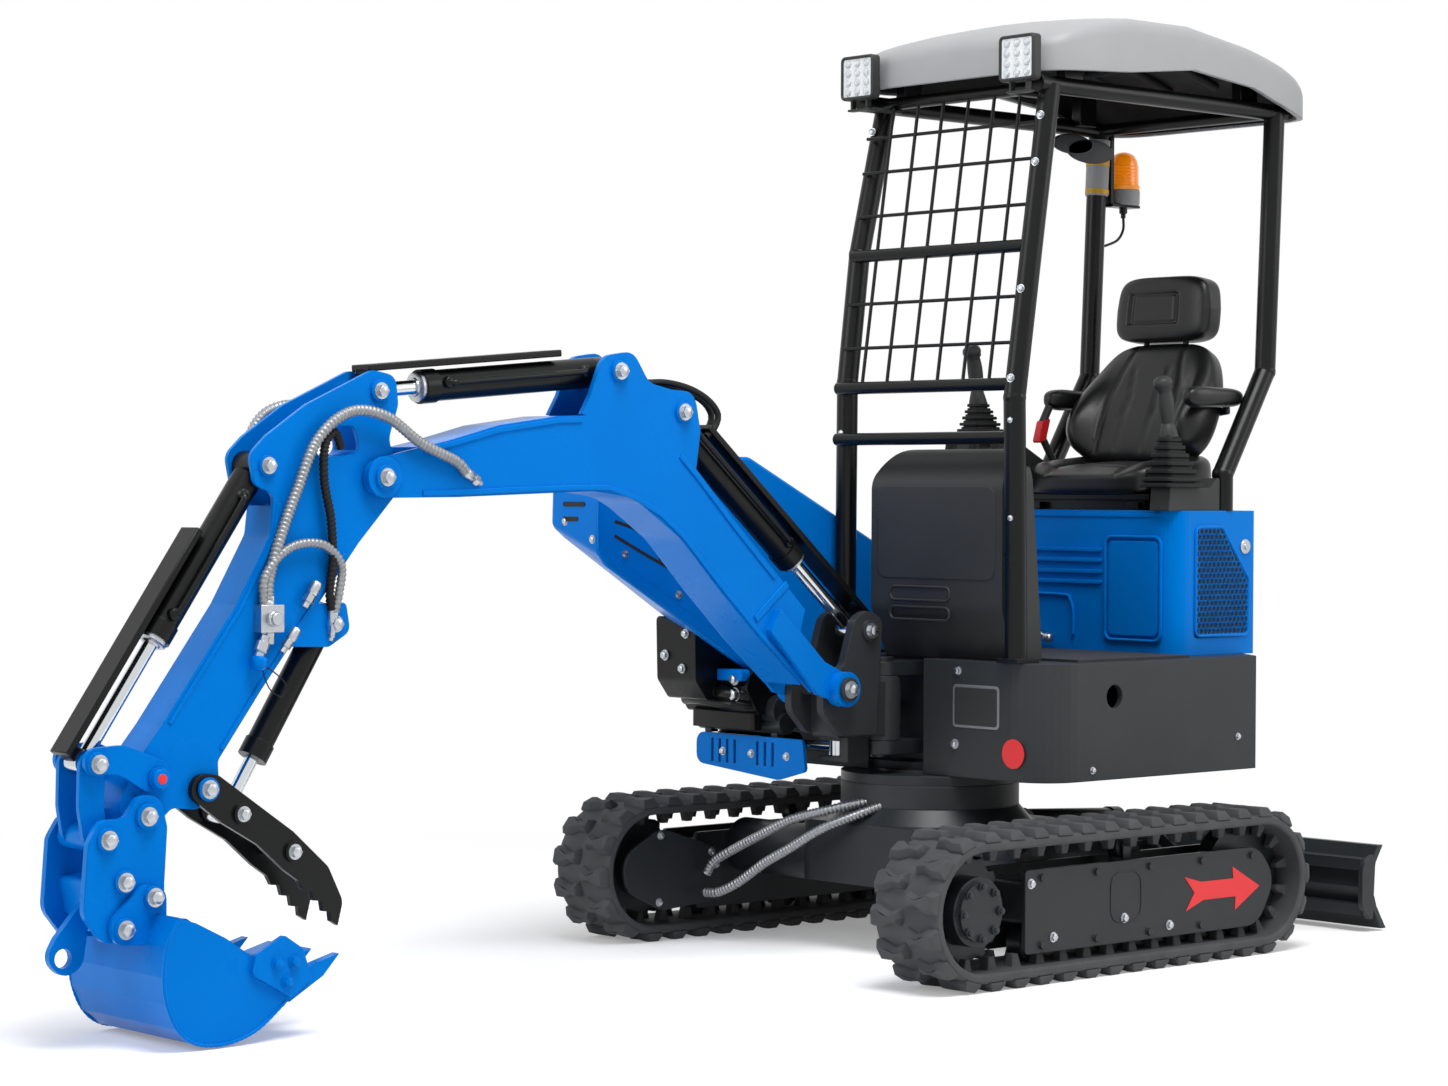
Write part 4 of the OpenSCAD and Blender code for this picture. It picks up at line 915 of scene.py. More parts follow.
class DIGGER_OT_canopy(bpy.types.Operator):
    """Roof shell, lamps, beacon, guard bolts, hand loops and post sleeve of the canopy"""

    bl_idname = "digger.canopy"
    bl_label = "Canopy"

    # height of the roof's side edge and of its rim, from front to rear
    EDGE = ((40, 1996), (-40, 2024), (-160, 2050), (-303, 2063), (-450, 2058), (-600, 2036), (-740, 2004),
            (-820, 1976), (-880, 1944))
    RIM = ((40, 1928), (-106, 1934), (-240, 1943), (-420, 1963), (-580, 1952), (-720, 1914), (-812, 1892),
           (-880, 1888))
    # the skin's rings: share of the half width, and fall below the crown; the last one is the rim
    RINGS = ((0.06, 0), (0.25, 0), (0.45, 0), (0.62, 0), (0.76, 0), (0.86, 0), (0.92, 1), (0.955, 4),
             (0.98, 10), (0.994, 19), (1.0, 30), (1.0, None))
    # middle, half length, half width, crown, squareness of the corners, points of a ring
    ROOF_X, HALF_LENGTH, HALF_WIDTH, CROWN, SQUARE, ROUND = -420, 460, 325, 22, 0.26, 128

    def roof_rings(self, inset, drop, rim_up):
        """Rings of the roof's skin from its crown to its rim."""
        rings = []
        for s, fall in self.RINGS:
            ring = []
            for k in range(self.ROUND):
                c, d = math.cos(2 * math.pi * k / self.ROUND), math.sin(2 * math.pi * k / self.ROUND)
                x = self.ROOF_X + (self.HALF_LENGTH - inset) * s * math.copysign(abs(c) ** self.SQUARE, c)
                v = s * math.copysign(abs(d) ** self.SQUARE, d)
                top = along(self.EDGE, x) + self.CROWN * (1 - v * v) - drop
                z = along(self.RIM, x) + rim_up if fall is None else top - fall
                ring.append((x, CAB_Y + (self.HALF_WIDTH - inset) * v, z))
            rings.append(ring)
        return rings

    def roof(self):
        """Moulded roof with its arched rim, the black lining and its ribs drawn near-black, their own black
        darkened as painted shade under the roof, and the stubs that carry it.
        """
        skin = Shape().cap(self.roof_rings(0, 0, 0) + self.roof_rings(11, 11, 0)[::-1])
        skin.piece("roof_skin", "roof_abs", "house", "roof_plastic", angle=50, stand_for=["roof"])
        # the lining's near-black is its own black darkened as painted shade under the roof
        lining = Shape().cap(self.roof_rings(12, 13, 5) + self.roof_rings(17, 18, 5)[::-1])
        for x in (-640, -460, -280, -110):
            z = along(self.EDGE, x) - 8
            arch = [(x, CAB_Y + y, z + up)
                    for y, up in ((-290, -34), (-230, -8), (0, 6), (230, -8), (290, -34))]
            lining.tube(smooth_route(arch, 20), 11, 8)
        for y in (-200, -70, 70, 200):
            rail = [(x, CAB_Y + y, along(self.EDGE, x) - 6) for x in (0, -110, -280, -460, -640, -800)]
            lining.tube(smooth_route(rail, 20), 10, 8)
        lining.piece("roof_lining", "painted_shade_black", "house", "black_plastic", angle=50)
        stubs = Shape()
        for x in (-90, -690):
            for y in (LEFT_Y - 24, RIGHT_Y + 24):
                stubs.box((x - 30, y - 14, EAVE), (x + 30, y + 14, along(self.EDGE, x) - 6))
        stubs.piece("roof_stubs", "black_enamel", "house", "black_paint", bevel=2)

    def lamps(self):
        """Work lamps with fins, brackets and rows of lenses."""
        lamps, glass, places = Shape(), Shape(), []
        rows, z = sizes().led_rows, LAMP_LOW + 68
        for y, lug in ((CAB_Y + 245, -30), (CAB_Y - 245, 25)):
            lamps.prism(slab(y - 52, y + 52, z - 50, z + 50, 10), "yz", 58, 78)
            lamps.hoop(slab(y - 48, y + 48, z - 46, z + 46, 8), "yz", 79, 4)
            for i in range(8):
                fin = y - 42 + i * 11.5
                lamps.box((52, fin, z - 40), (59, fin + 4, z + 40))
            for s in (1, -1):
                lamps.box((60, y + s * 24 - 3, LAMP_LOW - 4), (74, y + s * 24 + 3, z - 44))
            lamps.box((58, y - 34, LAMP_LOW - 7), (76, y + 34, LAMP_LOW - 2))
            lamps.box((-32, y + lug - 10, LAMP_LOW - 8), (62, y + lug + 10, LAMP_LOW - 0.2))
            glass.prism(slab(y - 46, y + 46, z - 44, z + 44, 6), "yz", 77, 79)
            for i in range(3):
                for j in range(rows):
                    places.append(((79, y - 29 + 29 * i, z - 32 + 64 * j / (rows - 1)), (1, 0, 0), 10))
        lamps.piece("lamp_bodies", "black_abs", "house", "black_plastic", bevel=1.0, stand_for=["work_lamps"])
        glass.piece("lamp_faces", "lamp_mirror", "house", "grey_steel", bevel=0.5)
        mesh = run_tree(TREES["leds"], point_mesh(places),
                        {"Lens radius": 0.95, "Finish": MATERIALS["lamp_lens"]})
        settle("lamp_lenses", mesh, "lamp_lens", "house", angle=80)

    def beacon(self):
        """Ribbed amber dome with its mirror, base, arm and lead."""
        x, y, z, up = BEACON_X, RIGHT_Y, EAVE - 135, (0, 0, 1)
        bell = [(0, 39), (5, 40.5), (9, 40.5), (11, 37.5), (56, 36.5), (72, 33), (84, 26), (91, 14), (93, 2)]
        dome = Shape().turned((x, y, z - 4), up, bell, 44)
        for k in range(6):
            dome.turned((x, y, z + 10 + k * 8), up, [(0, 36.8), (1.5, 38), (3, 36.8)], 44)
        dome.piece("beacon_dome", "amber_lens", "house", "amber_plastic", angle=50, stand_for=["beacon"])
        base = Shape().turned((x, y, z - 42), up, [(0, 37), (4, 40), (34, 40.5), (38, 38.5)], 44)
        base.piece("beacon_base", "roof_abs", "house", "grey_steel")
        arm = Shape().box((-812, y - 14, EAVE - 183), (-800, y + 14, EAVE + 10))
        arm.box((x - 40, y - 20, EAVE - 183), (-800, y + 20, EAVE - 176))
        arm.turned((x, y, EAVE - 182), (0, 0, -1), [(0, 10), (14, 10), (16, 6), (26, 6)], 16)
        lead = ((x, 204), (x, 236), (x + 20, 262), (-806, 276), (-790, 280))
        arm.tube(smooth_route([(a, y, EAVE - fall) for a, fall in lead]), 3.5, 8)
        arm.piece("beacon_arm", "black_enamel", "house", "black_paint", bevel=1)
        bulb = Shape().turned((x, y, z), up, [(0, 18), (26, 18), (30, 24), (58, 22), (62, 10)], 24)
        bulb.piece("beacon_mirror", "lamp_mirror", "house", "grey_steel")

    def execute(self, context):
        self.lamps()
        self.beacon()
        self.roof()
        # the left post leans back by 106 mm in 680 mm
        places = [((106 - 106 * (z - 1220) / 680 + 23, LEFT_Y + 4, z), (1, 0.1, 0.15), 7)
                  for z in (1832, 1730, 1455, 1262)]
        places += [((x, LEFT_Y + 6, z), (1, 0.2, 0), 7) for x, z in ((122, 1172), (119, 962))]
        places += [((8, RIGHT_Y + 2, 1838), (1, 0.2, 0.15), 7)]
        places += [((x, RIGHT_Y + 4, z), (1, 0.2, 0), 7) for x, z in ((81, 1327), (100, 1150))]
        bolts("guard_bolts", "house", places)
        ovals, turns = Shape(), [2 * math.pi * k / 36 for k in range(36)]
        for x, z, r in ((-640, 1856, 44), (-706, 1842, 52)):
            oval = [(x + 1.6 * r * math.cos(a), z + 0.55 * r * math.sin(a)) for a in turns]
            ovals.prism(oval, "xz", RIGHT_Y + 26, RIGHT_Y + 34)
        ovals.piece("hand_loops", "chassis_paint", "house", "black_paint", bevel=2)
        sleeve = Shape().tube([(-763, RIGHT_Y, 1740), (-770, RIGHT_Y, 1876)], 28, 24)
        sleeve.piece("post_sleeve", "roof_abs", "house", "grey_steel", bevel=1.5)
        tape = Shape().tube([(-766.5, RIGHT_Y, 1812), (-768.5, RIGHT_Y, 1852)], 29, 24)
        tape.tube([(-764, RIGHT_Y, 1744), (-764.8, RIGHT_Y, 1756)], 29, 24)
        tape.piece("sleeve_tape", "yellow_tape", "house", "amber_plastic")
        return {"FINISHED"}


class DIGGER_OT_boom(bpy.types.Operator):
    """Edge flanges and pin nuts of the boom and its post"""

    bl_idname = "digger.boom"
    bl_label = "Boom"

    def execute(self, context):
        low = [(430, 584), (578, 708), (693, 815), (800, 920), (860, 964), (930, 998), (1000, 1017),
               (1080, 1017), (1385, 1006), (1470, 1004)]
        top = [(1470, 1098), (1405, 1110), (1281, 1141), (1128, 1162), (1070, 1164)]
        rear = [(800, 1092), (749, 1046), (652, 950), (530, 836)]
        brace = [(596, 752), (504, 826)]
        strips = ((low, 11), (top, 11), (rear, 11), (brace, 16))
        flange = Shape().side_strips(strips, BOOM_Y, BOOM_Y + 4.5)
        flange.piece("boom_flanges", "blue_enamel", "boom", "blue_paint", bevel=1.2)
        size = nut_size()
        pins = ((LIFT_TOP, 64), (STICK_BASE, 64), (ELBOW, 72))
        bolts("boom_pin_nuts", "boom", [p for pin, y in pins for p in both_sides(pin, y, size)])
        bolts("frame_front_bolts", "house", [((320, y, 430), (1, 0, 0), 7) for y in (-340, -245, -130)])
        bolts("post_pin_nuts", "swing_post", both_sides(FOOT, 102, size + 1) + both_sides(LIFT_LOW, 66, size))
        return {"FINISHED"}


class DIGGER_OT_arm(bpy.types.Operator):
    """Edge flanges, pin nuts, link cap and valve block of the arm"""

    bl_idname = "digger.arm"
    bl_label = "Arm"

    def execute(self, context):
        low = [(1640, 890), (1720, 786), (1834, 646), (1920, 530)]
        high = [(2040, 588), (1885, 796), (1808, 930), (1800, 990)]
        flange = Shape().side_strips(((low, 9), (high, 9)), ARM_Y, ARM_Y + 4)
        flange.piece("arm_flanges", "blue_enamel", "arm", "blue_paint", bevel=1.2)
        size = nut_size()
        places = [p for pin in (STICK_EYE, CURL_BASE, THUMB_BASE)
                  for p in both_sides(pin, ARM_Y + 7, size - 1)]
        # the link pin's left end has a boss and a cap instead of a nut
        places += both_sides(LINK_PIN, 63, size)[1:]
        places += both_sides(TIP, 83, size) + both_sides(THUMB_PIN, 65, size)
        bolts("arm_pin_nuts", "arm", places)
        boss = Shape().turned((LINK_PIN[0], 62, LINK_PIN[1]), (0, 1, 0),
                              [(0, 19), (7, 19), (9, 17), (9.4, 11)])
        boss.piece("link_boss", "blue_enamel", "arm", "blue_paint")
        cap = Shape().turned((LINK_PIN[0], 71, LINK_PIN[1]), (0, 1, 0), [(0, 10), (1.5, 9), (2.4, 5)])
        cap.piece("link_cap", "red_enamel", "arm", "black_plastic")
        block = Shape().box((1800, 42, 748), (1852, 70, 800))
        block.turned((1826, 70, 774), (0, 1, 0), [(0, 15), (8, 15), (10, 12), (18, 12)], 20)
        block.turned((1826, 56, 800), (0, 0, 1), [(0, 12), (16, 12)], 6)
        block.turned((1826, 56, 748), (0, 0, -1), [(0, 12), (22, 12)], 6)
        block.piece("valve_block", "zinc_plate", "arm", "grey_steel", bevel=1.5)
        return {"FINISHED"}


class DIGGER_OT_links(bpy.types.Operator):
    """Pin nuts of the links, coupler, bucket and thumb, and weld beads of the bucket"""

    bl_idname = "digger.links"
    bl_label = "Links and bucket"

    def execute(self, context):
        size = nut_size()
        bolts("link_pin_nuts", "side_links", both_sides(LINK_EYE, 62, size))
        pins = ((COUPLER_EYE, 81), (SAFETY_PIN, 81), (FRONT_PIN, 95), (REAR_PIN, 95))
        bolts("bucket_pin_nuts", "bucket", [p for pin, y in pins for p in both_sides(pin, y, size)])
        bolts("thumb_pin_nuts", "thumb",
              both_sides(THUMB_EYE, 64, size - 2) + both_sides(THUMB_BOLT, 64, size - 2))
        cutter = [p for pin in ((1862, 110), (1884, 146), (1846, 146)) for p in both_sides(pin, 170, 10)]
        bolts("cutter_bolts", "bucket", cutter, "blue_enamel")
        bead = Shape()
        line = [(1860, 70), (1916, 29), (1965, 11), (2014, 7), (2060, 17), (2094, 46), (2115, 92),
                (2121, 140), (2113, 196), (2092, 240)]
        for s in (1, -1):
            path = smooth_route([(x, s * 160, z) for x, z in line], 5)
            bead.tube(path, [3.4 + 0.6 * (i % 2) for i in range(len(path))], 8)
        bead.piece("bucket_welds", "blue_enamel", "bucket", "blue_paint", angle=60)
        return {"FINISHED"}


class DIGGER_OT_cylinders(bpy.types.Operator):
    """Rod guards, glands, ports and hard pipes of the cylinders"""

    bl_idname = "digger.cylinders"
    bl_label = "Cylinders"

    # base pin, rod's pin, barrel's length and radius, guard's reach, side of the guard
    RUNS = {
        "boom": (LIFT_TOP, LIFT_LOW, 476, 31, 620, -1),
        "arm": (STICK_BASE, STICK_EYE, 468, 31, 470, 1),
        "bucket": (CURL_BASE, LINK_EYE, 388, 29, 480, 1),
    }
    # faces of a block by its eight corners
    BLOCK = ((0, 1, 2, 3), (4, 5, 6, 7), (0, 1, 5, 4), (1, 2, 6, 5), (2, 3, 7, 6), (3, 0, 4, 7))

    def execute(self, context):
        for name, (a, b, length, r, reach, up) in self.RUNS.items():
            d = Vector((b[0] - a[0], 0, b[1] - a[1]))
            total = d.length
            d.normalize()
            n = Vector((-d.z, 0, d.x)) * up

            def at(x, y, z):
                """A point x along the cylinder, y to its left and z towards the guard."""
                return Vector((a[0], 0, a[1])) + d * x + n * z + Vector((0, y, 0))

            guard = Shape()
            for lo, hi in (((total - reach - 1, -29, 38), (total + 11, 29, 52)),
                           ((total - 17, -17, 9), (total + 11, 17, 46))):
                base = ((lo[0], lo[1]), (hi[0], lo[1]), (hi[0], hi[1]), (lo[0], hi[1]))
                vs = [guard.bm.verts.new(at(x, y, z)) for z in (lo[2], hi[2]) for x, y in base]
                for f in self.BLOCK:
                    guard.bm.faces.new([vs[i] for i in f])
            guard.piece(name + "_rod_guard", "black_enamel", name + "_rod", "black_paint", bevel=2.5)
            first, last = 70, length - 50
            bend = ((first, -4, 6), (first + 4, 10, 6), (first + 40, 12, 4), (last - 40, 12, 4),
                    (last - 6, 10, 4), (last, -2, 4))
            pipe = Shape().tube(smooth_route([at(x, r + out, z) for x, out, z in bend], 8), 6, 10)
            for x in (first, last):
                pipe.turned(at(x, r - 6, 5), (0, 1, 0), [(0, 12), (14, 12), (16, 10)], 18)
            pipe.piece(name + "_barrel_pipe", "black_enamel", name + "_barrel", "black_paint", angle=50)
            ring = [(0, r - 1), (9, r - 1), (11, r - 4), (12, 19), (16, 18)]
            gland = Shape().turned(at(length - 1, 0, 0), d, ring, 32)
            gland.piece(name + "_gland", "zinc_plate", name + "_barrel", "grey_steel")
        return {"FINISHED"}


class DIGGER_OT_hoses(bpy.types.Operator):
    """Hoses of the arm, thumb, boom, travel motors and slew swivel, and their ends"""

    bl_idname = "digger.hoses"
    bl_label = "Hoses"

    def execute(self, context):
        r = sizes().hose_radius * 1000
        left = [(1372, 66, 1052), (1400, 72, 1072), (1486, 74, 1106), (1570, 74, 1156), (1652, 70, 1163),
                (1722, 64, 1110), (1766, 60, 1014), (1800, 58, 930), (1826, 57, 850), (1828, 57, 806)]
        hose("arm_hose_left", left, r, True, None, ("boom", "arm", (1.486, 0.07, 1.106), (1.68, 0.07, 1.15)))
        right = [(1640, -52, 1130), (1664, -60, 1166), (1703, -62, 1177), (1760, -60, 1157),
                 (1794, -58, 1109), (1790, -56, 1050), (1776, -50, 1010)]
        hose("arm_hose_right", right, r, True, "arm")
        thumb = [(1654, 44, 1096), (1676, 54, 1124), (1702, 60, 1100), (1704, 60, 1034), (1688, 60, 958),
                 (1682, 58, 882), (1686, 54, 820), (1676, 48, 784)]
        hose("thumb_hose", thumb, 9, True, "arm", finish_name="hose_rubber")
        loop = [(1838, 56, 798), (1838, 60, 850), (1800, 62, 896), (1752, 62, 914), (1700, 62, 908),
                (1664, 60, 872), (1666, 56, 820), (1672, 50, 780)]
        hose("arm_loop", loop, 9, True, "arm")
        for k, y in enumerate((-14, 16)):
            q = 8 * k
            peak = [(902, y, 1232), (824, y, 1242), (744 + 4 * k, y, 1230 + 2 * k), (682 + q, y, 1208),
                    (654 + q, y, 1178), (664 + q, y, 1149), (700, y + 4, 1131)]
            hose("peak_hose_%d" % k, peak, 7, False, "boom")
        runs = ([(330, -382, 150), (322, -366, 178), (310, -320, 206), (300, -237, 246), (290, -150, 286),
                 (268, -70, 310), (220, -20, 326), (172, 0, 332)],
                [(338, -376, 108), (332, -340, 112), (320, -286, 138), (308, -214, 186), (298, -139, 226),
                 (280, -60, 272), (232, 10, 308), (176, 40, 328)])
        for k, run in enumerate(runs):
            hose("travel_hose_%d" % k, run, r, True, "undercarriage", finish_name="hose_spring")
        for k, (y, z) in enumerate(((-66, 586), (-52, 560), (-36, 538), (-14, 556))):
            run = [(70, y - 30, z - 10), (112, y - 4, z), (146, y + 4 * k - 20, z + 8), (172, y - 22, z - 14)]
            hose("slew_hose_%d" % k, run, 7, False, "house")
        ends = Shape()
        for at, axis, size in (
            ((1828, 57, 806), (0, 0, -1), 8), ((1838, 56, 800), (0, 0, -1), 6),
            ((1672, 50, 782), (0.1, -0.1, -1), 6), ((1676, 48, 788), (0, 0, -1), 6),
            ((1776, -50, 1010), (-0.2, 0.3, -1), 8), ((1718, 58, 838), (0.55, 0.0, -0.84), 8),
            ((1766, 60, 752), (0.62, 0.0, -0.78), 7),
        ):
            crimp(ends, at, axis, size)
        ends.turned((1838, 62, 742), (0.35, 0, -0.94),
                    [(0, 9), (10, 9), (12, 13), (30, 13), (34, 9), (44, 9)], 18)
        cup = Shape().turned((1848, 62, 704), (0.3, 0, -0.95),
                             [(0, 11), (4, 15), (20, 15), (26, 10), (28, 3)], 20)
        cup.piece("coupling_cap", "blue_enamel", "arm", "blue_paint", angle=50)
        noose = [(1850, 66, 690), (1822, 72, 672), (1800, 74, 650), (1808, 74, 628), (1832, 72, 640),
                 (1846, 70, 668), (1846, 66, 690)]
        wire = Shape().tube(smooth_route(noose, 6), 1.4, 6)
        wire.piece("cap_wire", "hose_rubber", "arm", "black_plastic", angle=60)
        ends.piece("arm_hose_ends", "zinc_plate", "arm", "grey_steel", angle=40)
        stub = Shape()
        crimp(stub, (1372, 66, 1052), (-1, -0.3, -0.5), 8)
        stub.piece("boom_hose_end", "zinc_plate", "boom", "grey_steel", angle=40)
        return {"FINISHED"}


class DIGGER_OT_undercarriage(bpy.types.Operator):
    """Arrow, lids and bolts of the undercarriage, and the blade's pin nuts"""

    bl_idname = "digger.undercarriage"
    bl_label = "Undercarriage"

    def execute(self, context):
        arrow = [(-205, 186), (-262, 172), (-370, 172), (-366, 198), (-460, 149), (-376, 102), (-378, 132),
                 (-268, 132), (-210, 112), (-238, 150)]
        mark = Shape().prism(arrow, "xz", 569.5, 571.2)
        mark.piece("arrow_mark", "red_enamel", "undercarriage", "black_plastic")
        places, bright, lids = [], [], Shape()
        for s in (1, -1):
            bright += [((x, s * 570, z), (0, s, 0), 8)
                       for x, z in ((284, 208), (215, 92), (-155, 87), (-8, 114))]
            bright += [((x, s * 402, z), (0, -s, 0), 7)
                       for x, z in ((452, 242), (298, 196), (284, 166), (456, 92), (282, 104))]
            lids.hoop(slab(-62, 35, 106, 212, 28), "xz", s * 570.2, 1.8)
            for i in range(8):
                a = math.radians(45 * i)
                places.append(((END_X + 54 * math.cos(a), s * 588, END_R + 54 * math.sin(a)), (0, s, 0), 7))
        bolts("hub_bolts", "undercarriage", places, "chassis_paint")
        bolts("frame_bolts", "undercarriage", bright)
        lids.piece("frame_lids", "chassis_paint", "undercarriage", "black_paint", angle=60)
        bolts("blade_pin_nuts", "undercarriage", both_sides(BLADE_PIN, 193, nut_size()))
        return {"FINISHED"}


class DIGGER_OT_tracks(bpy.types.Operator):
    """Rubber tracks with staggered lugs and guide teeth"""

    bl_idname = "digger.tracks"
    bl_label = "Tracks"

    # a lug's outline at its foot and tip: along the belt and off the middle, in millimetres
    LUG_FOOT = ((-23, 90), (20, 90), (24, 70), (14, 50), (10, 34), (20, 8), (-2, 3), (-16, 10), (-14, 36),
                (-24, 58))
    LUG_TIP = ((-15, 83), (10, 83), (13, 69), (5, 50), (1, 34), (9, 14), (0, 10), (-9, 15), (-6, 36),
               (-15, 60))
    # a guide tooth's outline at its foot and tip: share of the pitch and off the middle
    TOOTH_FOOT = ((0.22, 23), (0.6, 23), (0.6, 47), (0.22, 47))
    TOOTH_TIP = ((0.3, 25), (0.52, 25), (0.52, 43), (0.3, 43))

    def at(self, s, d):
        """A point of the loop in the side view, s along the belt and d inside the lug tips."""
        r, arc = END_R - d, math.pi * (END_R - LUG)
        s %= 4 * END_X + 2 * arc
        if s < 2 * END_X:
            return s - END_X, END_R - r
        if s < 2 * END_X + arc:
            a = math.pi * ((s - 2 * END_X) / arc - 0.5)
            return END_X + r * math.cos(a), END_R + r * math.sin(a)
        if s < 4 * END_X + arc:
            return END_X - (s - 2 * END_X - arc), END_R + r
        a = math.pi * ((s - 4 * END_X - arc) / arc + 0.5)
        return -END_X + r * math.cos(a), END_R + r * math.sin(a)

    def execute(self, context):
        whole = 4 * END_X + 2 * math.pi * (END_R - LUG)
        pitch, steps, inner = whole / LUGS, LUGS * 4, LUG + BELT
        edge = [(LUG, 82), (LUG + 4, 90), (inner - 4, 90), (inner, 86)]
        profile = edge + [(d, -b) for d, b in reversed(edge)]
        for name, s in (("left", 1), ("right", -1)):
            tread = Shape()

            def place(a, d, b):
                """A point a along the belt, d inside the lug tips and b off the track's middle."""
                x, z = self.at(a, d)
                return Vector((x, s * (TRACK_Y + b), z))

            rings = [[tread.bm.verts.new(place(whole * k / steps, d, b)) for d, b in profile]
                     for k in range(steps)]
            tread.bridge(rings + [rings[0]])
            for k in range(LUGS):
                for half, phase in ((-1, 0.3), (1, 0.8)):
                    at = (k + phase) * pitch
                    lug = ((LUG + 1.5, self.LUG_FOOT), (LUG - 4, self.LUG_FOOT), (0.2, self.LUG_TIP))
                    tread.cap([[place(at + a, d, half * b) for a, b in line] for d, line in lug])
                    tooth = ((inner - 1.5, self.TOOTH_FOOT), (inner + 26, self.TOOTH_TIP))
                    tread.cap([[place((k + a) * pitch, d, half * b) for a, b in line] for d, line in tooth])
            tread.piece("tread_" + name, "tread_rubber", "undercarriage", "rubber_track", bevel=1.8,
                        stand_for=["track_" + name])
        return {"FINISHED"}


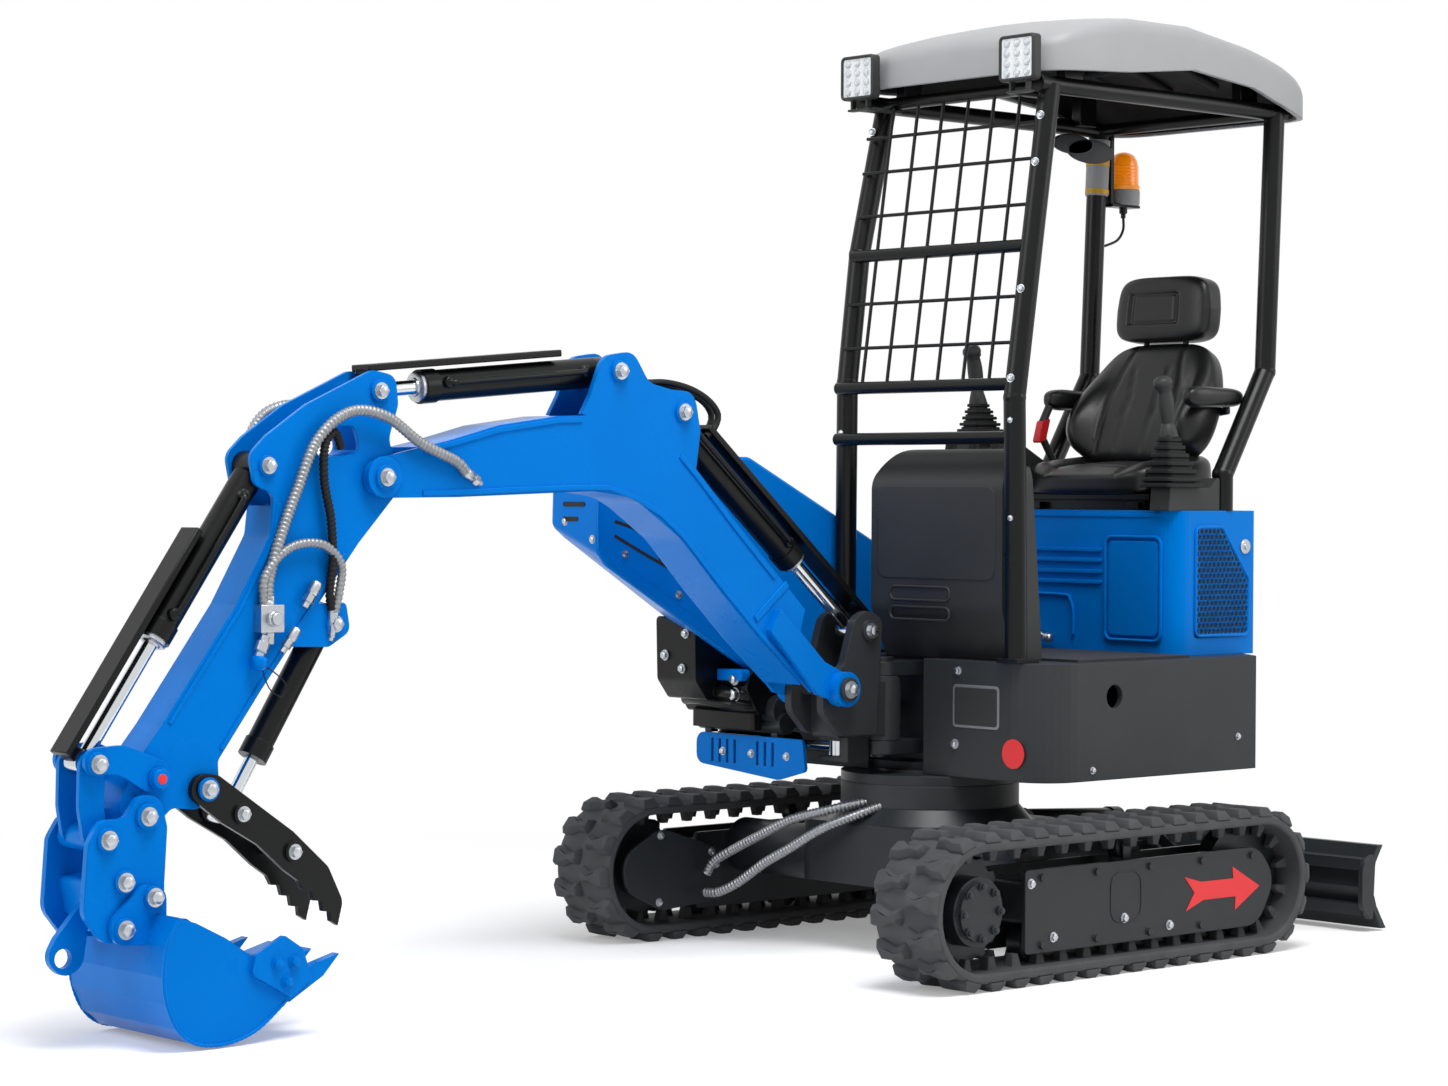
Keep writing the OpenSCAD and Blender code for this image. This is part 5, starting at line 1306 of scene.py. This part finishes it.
class DIGGER_OT_panels(bpy.types.Operator):
    """Right cover with its screws and its slots drawn as dark strips of painted shade, the valve bank under
    it, and the knee panel's raised lines
    """

    bl_idname = "digger.panels"
    bl_label = "Panels"

    # the cover in the side view, at its left side and at its right
    NEAR = ((-300, DECK, 8), (122, DECK), (122, 566), (262, 566, 20), (766, 852, 16), (790, 880, 20),
            (786, 1090, 40), (350, 1094, 40), (-40, 906, 60), (-300, 790, 20))
    FAR = ((-300, DECK, 8), (122, DECK), (122, 636), (262, 640, 20), (754, 916, 16), (790, 940, 20),
           (786, 1076, 40), (350, 1080, 40), (-40, 896, 60), (-300, 780, 20))
    FAR_Y = -438

    def cover(self):
        """The cover's skin, which narrows to the front, with its flange and its slots, drawn as dark strips
        of painted shade.
        """
        # the slots are dark strips of painted shade laid on the cover's face
        slots = Shape()
        for line in ([(743, 954), (690, 940), (648, 921), (622, 894), (609, 866)],
                     [(743, 923), (660, 884), (509, 817)]):
            slots.strip(line, 7, "xz", COVER_Y - 2, COVER_Y + 0.8)
        for y0, y1, z0, z1 in ((-341, -268, 982, 992), (-341, -290, 950, 960)):
            slots.prism(slab(y0, y1, z0, z1, 4), "yz", 782, 790.6)
        slots.piece("panel_slot_shade", "painted_shade_black", "house", "black_plastic", bevel=0.5)
        skin = Shape().prism(rounded(self.FAR, 6), "xz", self.FAR_Y, COVER_Y, rounded(self.NEAR, 6))
        for v in skin.bm.verts:
            if v.co.y < -300:
                v.co.y += 56 * max(0.0, min(1.0, (v.co.x - 300) / 480))
        skin.piece("cover_skin", "blue_abs", "house", "blue_paint", bevel=7, angle=40,
                   stand_for=["right_cover"])
        seam = Shape().strip([(789.5, 890), (790.5, 960), (788, 1050)], 2.5, "xz", COVER_Y - 4, COVER_Y + 1.4)
        seam.strip([(262, 572), (500, 708), (745, 850)], 22, "xz", COVER_Y - 1, COVER_Y + 1.6)
        seam.piece("cover_flange", "blue_abs", "house", "blue_paint", bevel=1)

    def valves(self):
        """The valve bank under the cover with its pipes, lever and bolts."""
        foot = rounded([(258, 562, 8), (258, 520, 8), (352, 520, 12), (392, 580, 20), (372, 622, 12),
                        (292, 580, 8)])
        bank = Shape().prism(foot, "xz", -424, -186)
        bank.prism(slab(330, 362, -400, -196, 8), "xy", 486, 524)
        body = rounded([(300, 560, 8), (432, 552, 14), (466, 596, 20), (470, 742, 10), (420, 720, 8),
                        (300, 650, 8)])
        bank.prism(body, "xz", -400, -270)
        y = -390
        for z, r in ((572, 15), (548, 13)):
            bend = [(388, y, z), (398, y + 40, z + 4), (400, y + 110, z), (394, y + 170, z - 6),
                    (356, y + 192, z - 10)]
            bank.tube(smooth_route(bend, 10), r, 12)
        bank.piece("valve_bank", "black_enamel", "house", "black_paint", bevel=3)
        arm = Shape().prism(slab(-330, -190, 596, 622, 10), "yz", 374, 402)
        arm.prism(slab(-350, -318, 590, 640, 8), "yz", 380, 396)
        arm.piece("valve_lever", "blue_enamel", "house", "blue_paint", bevel=3)
        ahead = (1, 0, 0)
        bolts("valve_bolts", "house", [
            ((402, -300, 609), ahead, 9), ((400, -214, 600), ahead, 10), ((396, -218, 566), ahead, 12),
            ((366, -410, 606), (1, 0, 0.4), 12), ((470, -368, 650), ahead, 9), ((469, -312, 622), ahead, 8),
            ((470, -300, 700), ahead, 8)])

    def knee(self):
        """The knee panel's raised field and the two rings below it."""
        raised = Shape().prism(slab(-60, 300, 826, 1030, 26), "yz", KNEE_X - 3, KNEE_X + 2)
        for z0, z1 in ((778, 808), (735, 763)):
            raised.hoop(slab(-18, 164, z0, z1, 13), "yz", KNEE_X + 0.5, 3.4)
        raised.piece("knee_raised", "black_abs", "house", "black_plastic", bevel=2.5)

    def execute(self, context):
        self.cover()
        self.valves()
        self.knee()
        side = ((714, 880), (560, 790), (420, 712), (760, 1004), (420, 1066), (60, 880))
        places = [((x, COVER_Y, z), (0, 1, 0), 7) for x, z in side]
        places += [((789, y, z), (1, 0, 0), 7) for y, z in ((-334, 950), (-242, 912), (-250, 1046))]
        bolts("cover_screws", "house", places, head=0.6)
        return {"FINISHED"}


class DIGGER_PT_panel(bpy.types.Panel):
    """Lists the steps in the sidebar"""

    bl_label = "Compact digger"
    bl_idname = "DIGGER_PT_panel"
    bl_space_type = "VIEW_3D"
    bl_region_type = "UI"
    bl_category = "Digger"

    def draw(self, context):
        for operator in OPERATORS:
            self.layout.operator(operator.bl_idname)
        for group in (context.scene.digger_look, context.scene.digger_sizes):
            for name in group.bl_rna.properties.keys():
                if name not in ("rna_type", "name"):
                    self.layout.prop(group, name)


OPERATORS = (
    DIGGER_OT_stage, DIGGER_OT_finishes, DIGGER_OT_hood, DIGGER_OT_shell, DIGGER_OT_seat, DIGGER_OT_levers,
    DIGGER_OT_canopy, DIGGER_OT_boom, DIGGER_OT_arm, DIGGER_OT_links, DIGGER_OT_cylinders, DIGGER_OT_hoses,
    DIGGER_OT_undercarriage, DIGGER_OT_tracks, DIGGER_OT_panels,
)
CLASSES = (DiggerLook, DiggerSizes, *OPERATORS, DIGGER_PT_panel)


def register():
    for cls in CLASSES:
        bpy.utils.register_class(cls)
    bpy.types.Scene.digger_look = PointerProperty(type=DiggerLook)
    bpy.types.Scene.digger_sizes = PointerProperty(type=DiggerSizes)


def unregister():
    del bpy.types.Scene.digger_sizes
    del bpy.types.Scene.digger_look
    for cls in reversed(CLASSES):
        bpy.utils.unregister_class(cls)


def main():
    register()
    for operator in OPERATORS:
        group, name = operator.bl_idname.split(".")
        getattr(getattr(bpy.ops, group), name)()


if __name__ == "__main__":
    main()
